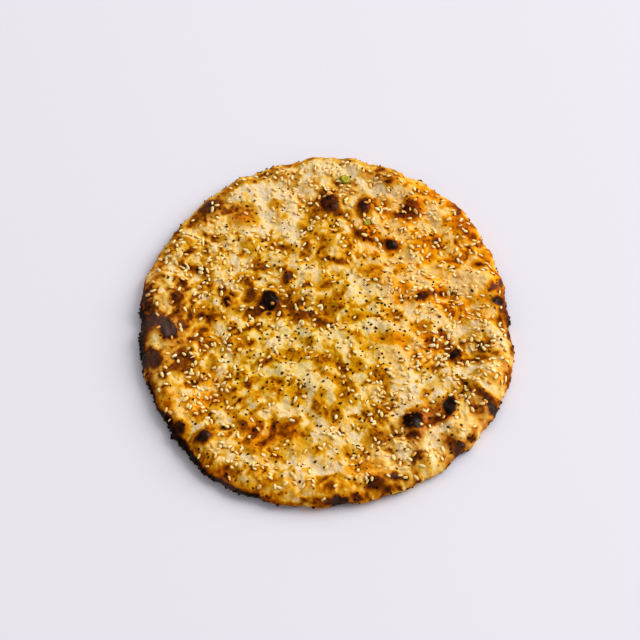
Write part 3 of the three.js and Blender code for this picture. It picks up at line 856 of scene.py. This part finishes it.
def crustColour(tree, bake, butter):
    # Bake picks the colour, butter and a ruddy bake tint it, flour lies over it, and the char gets a grey
    # painted sheen
    glaze = mixColours(tree, linear(*crustLook["dryTint"]), linear(*crustLook["butterTint"]),
                       maths(tree, "MULTIPLY", butter, crustLook["butterStrength"]))
    colour = mixColours(tree, colourRamp(tree, bake, crustLook["stops"]), glaze, 1.0, "MULTIPLY")
    colour = mixColours(tree, colour, linear(*crustLook["ruddyTint"], crustLook["ruddyLift"]),
                        attribute(tree, "ruddy"), "MULTIPLY")
    colour = mixColours(tree, colour, linear(*crustLook["flourTint"]),
                        maths(tree, "MULTIPLY", attribute(tree, "flour"), crustLook["flourShare"]))
    return mixColours(tree, colour, linear(*crustLook["paintedSheenTint"]), attribute(tree, "paintedSheen"))


def crustMaterial():
    # Bake is mottled by two sizes of noise and by freckles. Butter smooths the crust, and char shines wet.
    material, tree, shader = newMaterial("bakedCrust")
    fine = speckle(tree, crustLook["fineSize"], 1)
    grains = speckle(tree, crustLook["grainSize"], 1)
    bake = mottled(tree, attribute(tree, "bake"), fine, crustLook["fineMottle"])
    bake = mottled(tree, bake, grains, crustLook["grainMottle"])
    bake = maths(tree, "MULTIPLY_ADD", freckles(tree), crustLook["freckleDepth"], bake)
    butter = attribute(tree, "butter")
    tree.links.new(crustColour(tree, bake, butter), shader.inputs["Base Color"])
    roughness = maths(tree, "MULTIPLY_ADD", butter, -crustLook["butterGloss"], crustLook["roughness"])
    tree.links.new(roughness, shader.inputs["Roughness"])
    charred = mapRange(tree, bake, *crustLook["charFade"])
    height = maths(tree, "MULTIPLY_ADD", grains, crustLook["grainBump"], fine)
    height = maths(tree, "MULTIPLY", height,
                   maths(tree, "MULTIPLY_ADD", charred, -crustLook["charSmoothness"], 1.0))
    bumpBy(tree, shader, height, 1.0, crustLook["bumpDistance"])
    puddles = speckle(tree, crustLook["wetSize"], 1)
    wet = mapRange(tree, puddles, *crustLook["wetFade"], *crustLook["wetShine"])
    tree.links.new(maths(tree, "MULTIPLY", charred, wet), shader.inputs["Coat Weight"])
    shader.inputs["Coat Roughness"].default_value = crustLook["wetRoughness"]
    setSurface(shader, crustLook)
    return material


seedLook = {
    "stops": [
        (0.0, (255, 238, 186)), (0.3, (255, 224, 146)), (0.55, (255, 200, 100)), (0.8, (230, 152, 54)),
        (0.95, (160, 92, 24)),
    ],
    # each seed darker towards its foot: partly toasting, partly painted shade
    "footToastAndShade": [(0.25, (226, 148, 62)), (0.8, (255, 255, 255))],
    "mottleSize": 0.8, "mottle": 0.2, "roughness": 0.32, "specular": 0.2,
    "lightIn": 0.5, "lightSpread": (1.0, 0.5, 0.2), "lightReach": 0.9,
}


def seedMaterial():
    # Cream to gold by each seed's tone, and darker round its foot: partly toasting, partly painted shade
    material, tree, shader = newMaterial("sesameSeed")
    mottle = speckle(tree, seedLook["mottleSize"], 1)
    tone = maths(tree, "MULTIPLY_ADD", mottle, seedLook["mottle"], attribute(tree, "tone"))
    height = maths(tree, "ADD", attribute(tree, "rise"), 0.5)       # a rise goes from -1/2 to 1/2
    footToastAndShade = colourRamp(tree, height, seedLook["footToastAndShade"])
    toastedAndShaded = mixColours(tree, colourRamp(tree, tone, seedLook["stops"]), footToastAndShade, 1.0, "MULTIPLY")
    tree.links.new(toastedAndShaded, shader.inputs["Base Color"])
    setSurface(shader, seedLook)
    return material


def darkMaterial(name, look):
    # Each piece's own tone, from dark to light, with a little mottle
    material, tree, shader = newMaterial(name)
    mottle = speckle(tree, look["mottleSize"], 3)
    tone = maths(tree, "MULTIPLY_ADD", mottle, look["mottle"], attribute(tree, "tone"))
    tree.links.new(colourRamp(tree, tone, look["stops"]), shader.inputs["Base Color"])
    setSurface(shader, look)
    bumpBy(tree, shader, mottle, look["bump"], look["bumpDistance"])
    return material


chilliLook = {
    "stops": [(0.2, (74, 58, 0)), (0.5, (140, 128, 6)), (0.72, (166, 156, 16)), (0.9, (214, 196, 54))],
    "sidePaintedShade": 1.1, "mottleSize": 1.4, "mottle": 0.6, "roughness": 0.3, "specular": 0.15,
}


def chilliMaterial():
    # Yellow-green on its top and darker down its sides: partly the skin's own darker edge, partly painted
    # shade
    material, tree, shader = newMaterial("greenChilli")
    mottle = maths(tree, "MULTIPLY", speckle(tree, chilliLook["mottleSize"], 2), chilliLook["mottle"])
    # painted shade: lower on the scrap is darker
    toneWithPaintedShade = maths(tree, "MULTIPLY_ADD", attribute(tree, "rise"), chilliLook["sidePaintedShade"], mottle)
    tree.links.new(colourRamp(tree, toneWithPaintedShade, chilliLook["stops"]), shader.inputs["Base Color"])
    setSurface(shader, chilliLook)
    return material


# Small things on the crust

def pebble(around, bands, squareness=1.0):
    # Rings of points between two poles along X, as wide as sin(angle) to the power of the squareness
    polar = np.pi * np.arange(1, bands) / bands
    turn = 2 * np.pi * np.arange(around) / around
    radius = np.sin(polar) ** squareness
    ringX = np.repeat(np.cos(polar), around)
    ringY = np.outer(radius, np.cos(turn)).ravel()
    ringZ = np.outer(radius, np.sin(turn)).ravel()
    points = np.concatenate([[[1, 0, 0]], np.stack([ringX, ringY, ringZ], axis=1), [[-1, 0, 0]]]) / 2
    here, ahead = np.arange(around), (np.arange(around) + 1) % around
    last = 1 + (bands - 1) * around
    faces = [np.stack([here * 0, 1 + here, 1 + ahead], axis=1)]
    for band in range(bands - 2):
        upper, lower = 1 + band * around, 1 + (band + 1) * around
        faces.append(np.stack([upper + here, lower + here, upper + ahead], axis=1))
        faces.append(np.stack([upper + ahead, lower + here, lower + ahead], axis=1))
    low = 1 + (bands - 2) * around
    faces.append(np.stack([low + ahead, low + here, here * 0 + last], axis=1))
    return points, np.concatenate(faces)


def scatter(name, shape, places, normals, turns, sizes, rng, roughen=0.0, lean=0.0, tones=None):
    # Each copy is scaled, turned about the crust's normal there, tipped a little, and put in its place
    points, faces = shape
    count, each = len(places), len(points)
    copies = points[None] * sizes[:, None, :]
    if roughen:
        copies = copies * (1 + roughen * rng.uniform(-1, 1, (count, each, 1)))
    ahead = np.stack([np.cos(turns), np.sin(turns), np.zeros(count)], axis=1)
    if lean:
        normals = normals + lean * rng.normal(size=normals.shape)
        normals = normals / np.linalg.norm(normals, axis=1, keepdims=True)
    ahead = ahead - normals * np.sum(ahead * normals, axis=1, keepdims=True)
    ahead = ahead / np.linalg.norm(ahead, axis=1, keepdims=True)
    axes = np.stack([ahead, np.cross(normals, ahead), normals], axis=1)
    copies = np.einsum("nij,njk->nik", copies, axes) + places[:, None, :]
    allFaces = faces[None] + (np.arange(count) * each)[:, None, None]
    attributes = [("rise", np.tile(points[:, 2], count))]
    if tones is not None:
        attributes.append(("tone", np.repeat(tones, each)))
    print(name + ":", count)
    return makeMesh(name, copies.reshape(-1, 3), allFaces.reshape(-1, 3), attributes)


class CrustGround:
    # Finds the crust under a point, or the nearest crust to a point: its place, and its normal there

    above = 60      # higher than any of the crust

    def __init__(self, points, triangles):
        self.tree = BVHTree.FromPolygons(points.tolist(), triangles.tolist())

    def under(self, x, y):
        down = Vector((0, 0, -1))
        hits = [self.tree.ray_cast(Vector((a, b, self.above)), down)[:2] for a, b in zip(x, y)]
        return [np.array(found) for found in zip(*hits)]

    def nearest(self, points):
        hits = [self.tree.find_nearest(Vector(point))[:2] for point in points]
        return [np.array(found) for found in zip(*hits)]


def insideDraws(rng, count, margin):
    # Random places over the bread, at least the margin inside its edge
    reach = max(bread["edgeRadii"])
    x, y = rng.uniform(-reach, reach, (2, count))
    keep = insetAt(x, y) > margin
    return x[keep], y[keep]


def sowApart(x, y, gap, most, x0=(), y0=()):
    # Takes the places in turn and keeps each that is clear of all those kept before
    kept = list(zip(x0, y0))
    first = len(kept)
    for a, b in zip(x, y):
        if len(kept) - first >= most:
            break
        near = np.array(kept).reshape(-1, 2)
        if np.all((near[:, 0] - a) ** 2 + (near[:, 1] - b) ** 2 > gap * gap):
            kept.append((a, b))
    return np.array(kept[first:]).T


def sizeOf(thing):
    return np.array([thing["length"], thing["width"], thing["thickness"]])


# Sesame seeds

sesame = {
    "length": 2.9, "width": 1.62, "thickness": 1.05, "taper": 0.34, "lift": 0.36, "lean": 0.2,
    "around": 7, "bands": 5, "squareness": 0.65,
    "shapeSpread": 0.1, "sizeSpread": 0.12, "smallest": 0.7, "largest": 1.25,
    "contactShadeFade": (0.1, 1.2), "contactShadeBake": 0.14,
    "solidCount": 170, "solidGap": 7.5, "solidMargin": 5, "solidDraws": 6000, "solidStart": 41,
    "solidSparsest": 0.25,
    "count": 1170, "gap": 1.35, "margin": 2.5, "sparsest": 0.3, "draws": 26000, "mostChance": 1.6,
    "scorchedFewer": 0.85, "tone": 0.18, "toneSpread": 0.13, "scorchedTone": 0.5, "darkestTone": 0.9,
}

# Where a pinch of seeds was thrown: x, y and how far it spread
pinches = [
    (72, -20, 50), (62, 42, 60), (-66, 40, 60), (-75, -35, 40), (30, 84, 45), (-20, 92, 45), (40, -90, 40),
    (0, -98, 50),
]

# Where the seeds that the solid leaves out lie thickest: x, y and how far they spread
drifts = [
    (76, -20, 42), (90, -10, 25), (80, -32, 24), (78, 2, 24), (60, -12, 26), (55, 62, 34), (75, 45, 30),
    (-72, 40, 34), (-60, 30, 24), (-18, 80, 36), (-64, -32, 22), (30, 76, 30), (10, 98, 25), (40, -86, 32),
    (44, -34, 26), (-62, -52, 24), (42, 30, 25), (-45, -88, 25), (0, -12, 30), (-38, -10, 24),
    (22, -52, 24), (0, 70, 24), (62, 14, 22), (-18, 10, 18), (4, -72, 18),
]


def chanceOf(x, y, sparsest, heaps):
    # The sparsest share, plus a dome for each heap of seeds
    return sparsest + sum(dome(np.hypot(x - a, y - b) / reach) for a, b, reach in heaps)


def randomStream(start, count):
    # The solid's own stream of random numbers: its state steps by a fixed amount and is then mixed
    state = (start + 0x6d2b79f5 * np.arange(1, count + 1, dtype=np.uint64)).astype(np.uint32)
    mixed = (state ^ (state >> 15)) * (state | 1)
    mixed = (mixed + (mixed ^ (mixed >> 7)) * (mixed | 61)) ^ mixed
    return (mixed ^ (mixed >> 14)) / 2 ** 32


def solidSeeds():
    # The places of the seeds that the solid has: four draws for each try
    draws = randomStream(sesame["solidStart"], 4 * sesame["solidDraws"]).reshape(-1, 4)
    reach = max(bread["edgeRadii"])
    x, y = reach * (2 * draws[:, 0] - 1), reach * (2 * draws[:, 1] - 1)
    chance = np.minimum(chanceOf(x, y, sesame["solidSparsest"], pinches), 1)
    keep = (insetAt(x, y) > sesame["solidMargin"]) & (draws[:, 2] < chance)
    x, y, turns = x[keep], y[keep], 2 * np.pi * draws[keep, 3]
    keptX, keptY = sowApart(x, y, sesame["solidGap"], sesame["solidCount"])
    return keptX, keptY, turns[np.searchsorted(x, keptX, sorter=np.argsort(x))]


def sowSesame(shift):
    # The solid's seeds, then more where the drifts say, fewer on scorches: their places and turns
    rng = np.random.default_rng(7)
    solidX, solidY, solidTurns = solidSeeds()
    solidX, solidY = solidX + shift[0], solidY + shift[1]
    x, y = insideDraws(rng, sesame["draws"], sesame["margin"])
    chance = chanceOf(x, y, sesame["sparsest"], drifts)
    chance = chance * (1 - sesame["scorchedFewer"] * scorched(x, y))
    keep = rng.uniform(size=len(x)) < chance / sesame["mostChance"]
    x, y = sowApart(x[keep], y[keep], sesame["gap"], sesame["count"] - len(solidX), solidX, solidY)
    x, y = np.concatenate([solidX, x]), np.concatenate([solidY, y])
    return x, y, np.concatenate([solidTurns, rng.uniform(0, 2 * np.pi, len(x) - len(solidX))])


def seedContactShade(points, seeds):
    # Painted contact shade and toasting round each seed: up to 1 under a seed and close round it, as a
    # random draw says, and 0 a little further out
    x, y, turns = (values[:, None] for values in seeds)
    half = (sesame["length"] - sesame["width"]) / 2
    strength = np.random.default_rng(8).uniform(0, 1, len(x))[:, None]
    ring = np.zeros(len(points))
    for chunk in np.array_split(np.arange(len(points)), 60):        # in parts, to save memory
        dx, dy = points[chunk, 0] - x, points[chunk, 1] - y
        along = dx * np.cos(turns) + dy * np.sin(turns)
        across = dy * np.cos(turns) - dx * np.sin(turns)
        away = np.hypot(np.maximum(np.abs(along) - half, 0), across) - sesame["width"] / 2
        ring[chunk] = (strength * (1 - easeBetween(*sesame["contactShadeFade"], away))).max(axis=0)
    return ring


def laySesame(ground, seeds):
    # Pebbles that taper to one end, sized at random and lifted along the crust's normal
    rng = np.random.default_rng(9)
    x, y, turns = seeds
    places, normals = ground.under(x, y)
    sizes = sizeOf(sesame) * rng.normal(1, sesame["shapeSpread"], (len(x), 3))
    scale = rng.normal(1, sesame["sizeSpread"], (len(x), 1))
    sizes = sizes * np.clip(scale, sesame["smallest"], sesame["largest"])
    points, faces = pebble(sesame["around"], sesame["bands"], sesame["squareness"])
    points[:, 1:] *= 1 - sesame["taper"] * points[:, :1]
    tones = rng.normal(sesame["tone"], sesame["toneSpread"], len(x))
    tones = np.clip(tones + sesame["scorchedTone"] * scorched(x, y), 0, sesame["darkestTone"])
    places = places + sesame["lift"] * normals
    return scatter("sesameSeeds", (points, faces), places, normals, turns,
                   sizes, rng, lean=sesame["lean"], tones=tones)


# Black seeds, finer than sesame

blackSeed = {
    "count": 700, "gap": 1.5, "margin": 3, "length": 1.62, "width": 1.15, "thickness": 0.85, "lift": 0.12,
    "around": 6, "bands": 4, "roughen": 0.15, "lean": 0.2, "shapeSpread": 0.12,
    "sizeMiddle": -0.04, "sizeSpread": 0.25, "smallest": 0.5, "largest": 1.3,
    "draws": 6000, "sparsest": 0.3, "thickestX": 5, "thickestY": -20, "thickestReach": 95, "lightest": 0.8,
    "stops": [(0.1, (26, 12, 0)), (1.0, (130, 72, 2))], "mottleSize": 0.5, "mottle": 0.4,
    "roughness": 0.6, "specular": 0.03, "bump": 0.6, "bumpDistance": 0.2,
}


def darkTones(rng, count, lightest):
    # Mostly dark: the square of an even draw
    return rng.uniform(0, 1, count) ** 2 * lightest


def sowBlackSeeds(ground):
    # Drawn at random, thickest at one place and thinner away from it by a dome
    rng = np.random.default_rng(11)
    x, y = insideDraws(rng, blackSeed["draws"], blackSeed["margin"])
    fromThickest = np.hypot(x - blackSeed["thickestX"], y - blackSeed["thickestY"])
    chance = dome(fromThickest / blackSeed["thickestReach"])
    chance = blackSeed["sparsest"] + (1 - blackSeed["sparsest"]) * chance
    keep = rng.uniform(size=len(x)) < chance
    x, y = sowApart(x[keep], y[keep], blackSeed["gap"], blackSeed["count"])
    places, normals = ground.under(x, y)
    scale = rng.lognormal(blackSeed["sizeMiddle"], blackSeed["sizeSpread"], (len(x), 1))
    sizes = sizeOf(blackSeed) * np.clip(scale, blackSeed["smallest"], blackSeed["largest"])
    sizes = sizes * rng.normal(1, blackSeed["shapeSpread"], (len(x), 3))
    turns = rng.uniform(0, 2 * np.pi, len(x))
    tones = darkTones(rng, len(x), blackSeed["lightest"])
    places = places + blackSeed["lift"] * normals
    return scatter("blackSeeds", pebble(blackSeed["around"], blackSeed["bands"]), places, normals, turns,
                   sizes, rng, blackSeed["roughen"], blackSeed["lean"], tones)


# Charred crumbs along the edge

crumbs = {
    "count": 290, "meanSize": 0.95, "sizeSpread": 0.45, "smallest": 0.45, "largest": 2.0,
    "flattest": 0.7, "longest": 1.2, "around": 6, "bands": 4, "roughen": 0.28, "lean": 0.3,
    "draws": 9000, "fewest": 0.02, "sideFade": (0.6, 1.3),
    "clumpSize": 7, "clumpFade": (-0.5, 0.5), "clumpRadius": 105,
    "outside": 3, "lowest": 0.8, "highest": 6.5, "lightest": 0.8,
    "stops": [(0.1, (18, 13, 12)), (1.0, (70, 44, 30))], "mottleSize": 0.8, "mottle": 0.4,
    "roughness": 0.7, "specular": 0.03, "bump": 0.6, "bumpDistance": 0.2,
}

# How thickly they cling: angle, half width in degrees, and the share kept
crumbClumps = [
    (184, 14, 1), (205, 12, 0.4), (224, 12, 0.9), (238, 10, 1), (275, 8, 0.15), (330, 10, 0.2),
    (352, 10, 0.25), (10, 14, 0.5), (32, 20, 0.5), (62, 16, 0.5), (112, 12, 0.7), (140, 16, 0.3),
]


def roundTheBread(angle, radius, height):
    # Places at an angle and a radius from the middle
    return np.stack([radius * np.cos(angle), radius * np.sin(angle), height], axis=1)


def sowCrumbs(ground):
    # Drawn round the edge in clumps, and each moved to the nearest place on the crust
    rng = np.random.default_rng(13)
    angle = rng.uniform(0, 2 * np.pi, crumbs["draws"])
    share = np.full(len(angle), crumbs["fewest"])
    for middle, halfWidth, most in crumbClumps:
        away = angleAway(np.degrees(angle), middle, halfWidth)
        share = np.maximum(share, most * (1 - easeBetween(*crumbs["sideFade"], away)))
    rim = roundTheBread(angle, crumbs["clumpRadius"], 0 * angle)
    clumped = clouds(rim, crumbs["clumpSize"], seed=60)
    share = share * easeBetween(*crumbs["clumpFade"], clumped)
    angle = angle[rng.uniform(size=len(angle)) < share][:crumbs["count"]]
    height = rng.uniform(crumbs["lowest"], crumbs["highest"], len(angle))
    places, normals = ground.nearest(roundTheBread(angle, edgeRadius(angle) + crumbs["outside"], height))
    scale = rng.lognormal(0, crumbs["sizeSpread"], (len(angle), 1))
    sizes = crumbs["meanSize"] * np.clip(scale, crumbs["smallest"], crumbs["largest"])
    sizes = sizes * rng.uniform(crumbs["flattest"], crumbs["longest"], (len(angle), 3))
    turns = rng.uniform(0, 2 * np.pi, len(angle))
    tones = darkTones(rng, len(angle), crumbs["lightest"])
    return scatter("charredCrumbs", pebble(crumbs["around"], crumbs["bands"]), places, normals, turns,
                   sizes, rng, crumbs["roughen"], crumbs["lean"], tones)


# Scraps of green chilli

chilli = {
    # x, y, length, width, thickness, turn
    "scraps": [(11, 92.8, 5.8, 6.2, 2.6, 20), (23, 63.5, 4.6, 3, 1.5, 10)],
    "around": 32, "bands": 20, "squareness": 0.7, "lift": 0.3, "roughen": 0.08,
    "hollowWidth": 0.2, "hollowDepth": 0.3,     # shares of a scrap's length and thickness
}


def layChilli(ground):
    # A slice's middle sinks by a bell curve of the distance from its centre
    rng = np.random.default_rng(17)
    x, y, length, width, thickness, turns = np.array(chilli["scraps"], float).T
    places, normals = ground.under(x, y)
    sizes = np.stack([length, width, thickness], axis=1)
    points, faces = pebble(chilli["around"], chilli["bands"], chilli["squareness"])
    hollow = np.exp(-(points[:, 0] ** 2 + points[:, 1] ** 2) / chilli["hollowWidth"] ** 2)
    points[:, 2] -= chilli["hollowDepth"] * hollow * (points[:, 2] > 0)
    places = places + chilli["lift"] * normals
    return scatter("chilliScraps", (points, faces), places, normals, np.radians(turns), sizes, rng,
                   chilli["roughen"])


# The crust, put together

finishing = {
    "charFade": (0.8, 0.95),                                        # bakes at which crust turns to char
    "roughFade": (3, 9), "roughGrain": 0.9,                         # char is rough near the edge
    "reliefLoss": 0.85, "grainLoss": 0.6,                           # and smooth further in
    "baseLevel": 0.3, "baseRelief": 0.5, "baseDeepest": -0.6,       # the base has only shallow dents
}


def formShift(points):
    # How far the form moves, level, for its box to have the same middle as the solid's
    solidBox = [np.array(corner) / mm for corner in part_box("naan")]
    return (sum(solidBox) / 2 - (points.min(axis=0) + points.max(axis=0)) / 2) * [1, 1, 0]


def makeCrust(points, triangles, onTop, seeds):
    # The form moves along its normals by the relief, which is smoother where the crust is charred
    lift, crowns, creases, pimples = doughRelief(points)
    bake = bakeMap(points, onTop, crowns, creases, pimples)
    # Darker dough under and round each seed: partly toasting, partly painted contact shade
    bake = bake + sesame["contactShadeBake"] * onTop * seedContactShade(points, seeds)
    coatMaps = [
        ("bake", bake), ("butter", butterMap(points, lift, bake)), ("flour", flourMap(points, bake)),
        ("ruddy", ruddyMap(points, bake)), ("paintedSheen", paintedSheenMap(points, bake)),
    ]
    char = easeBetween(*finishing["charFade"], bake)
    rough = char * (1 - easeBetween(*finishing["roughFade"], insetAt(points[:, 0], points[:, 1])))
    lift = lift * (1 - finishing["reliefLoss"] * char * (1 - rough))
    grains = grain(points, finishing["roughGrain"] * rough)
    lift = lift + grains * (1 - finishing["grainLoss"] * char * (1 - rough))
    onBase = ~onTop & (points[:, 2] < finishing["baseLevel"])
    lift = np.where(onBase, np.clip(finishing["baseRelief"] * lift, finishing["baseDeepest"], 0), lift)
    points = points + pointNormals(points, triangles) * lift[:, None]
    points[:, 2] = np.maximum(points[:, 2], 0)
    print("crust:", len(triangles), "triangles")
    return makeMesh("crust", points, triangles, coatMaps), CrustGround(points, triangles)


points, triangles, onTop = crustForm()
shift = formShift(points)
seeds = sowSesame(shift)
crustPiece, ground = makeCrust(points + shift, triangles, onTop, seeds)
placePiece(crustPiece, crustMaterial())
placePiece(laySesame(ground, seeds), seedMaterial())
placePiece(sowBlackSeeds(ground), darkMaterial("blackSeed", blackSeed))
placePiece(sowCrumbs(ground), darkMaterial("charredCrumb", crumbs))
placePiece(layChilli(ground), chilliMaterial())


# Floor, lights and camera

studio = {
    "floorColour": (234, 233, 240), "floorRoughness": 0.55, "floorSide": 40000, "floorGap": 0.1,
    "skyColour": (248, 243, 246), "skyStrength": 0.46,
    # angle, height, distance, size, power
    "keyLight": (20, 35, 8000, 6900, 635),
    "fillLight": (80, 45, 8000, 5300, 85),
}


def makeFloor():
    # A square just under the bread
    half = studio["floorSide"] / 2
    corners = np.array([[-half, -half], [half, -half], [half, half], [-half, half]])
    points = np.column_stack([corners, np.full(4, -studio["floorGap"])])
    floor = makeMesh("floor", points, np.array([[0, 1, 2, 3]]))
    material, tree, shader = newMaterial("paleFloor")
    shader.inputs["Base Color"].default_value = linear(*studio["floorColour"])
    shader.inputs["Roughness"].default_value = studio["floorRoughness"]
    floor.data.materials.append(material)


def makeLight(name, angle, height, distance, size, power):
    # An area light on a sphere round the bread, facing its middle
    turn, tilt = np.radians(angle), np.radians(height)
    outward = Vector((np.cos(turn) * np.cos(tilt), np.sin(turn) * np.cos(tilt), np.sin(tilt)))
    light = bpy.data.lights.new(name, "AREA")
    light.shape, light.size, light.energy = "DISK", size * mm, power
    lamp = bpy.data.objects.new(name, light)
    lamp.location = outward * distance * mm
    lamp.rotation_euler = (-outward).to_track_quat("-Z", "Y").to_euler()
    bpy.context.scene.collection.objects.link(lamp)


def makeSky():
    world = bpy.data.worlds.new("paleRoom")
    world.use_nodes = True
    background = world.node_tree.nodes["Background"]
    background.inputs["Color"].default_value = linear(*studio["skyColour"])
    background.inputs["Strength"].default_value = studio["skyStrength"]
    bpy.context.scene.world = world


view = {
    "elevation": 58, "distance": 1200, "aimX": -3.1, "aimY": 5.2,
    "pixelsPerMm": 1.834, "framePixels": 640, "sensorWidth": 36,
}


def makeCamera():
    # The lens makes a millimetre at the aim as wide as the stated pixels
    tilt = np.radians(view["elevation"])
    camera = bpy.data.cameras.new("camera")
    camera.sensor_width = view["sensorWidth"]
    camera.lens = view["sensorWidth"] * view["pixelsPerMm"] * view["distance"] / view["framePixels"]
    eye = bpy.data.objects.new("camera", camera)
    eye.location = Vector((
        view["aimX"],
        view["aimY"] - view["distance"] * np.cos(tilt),
        view["distance"] * np.sin(tilt),
    )) * mm
    eye.rotation_euler = (np.pi / 2 - tilt, 0, 0)
    bpy.context.scene.collection.objects.link(eye)
    bpy.context.scene.camera = eye


makeFloor()
makeLight("keyLight", *studio["keyLight"])
makeLight("fillLight", *studio["fillLight"])
makeSky()
makeCamera()
bpy.context.scene.view_settings.view_transform = "Standard"
print("studio ready")
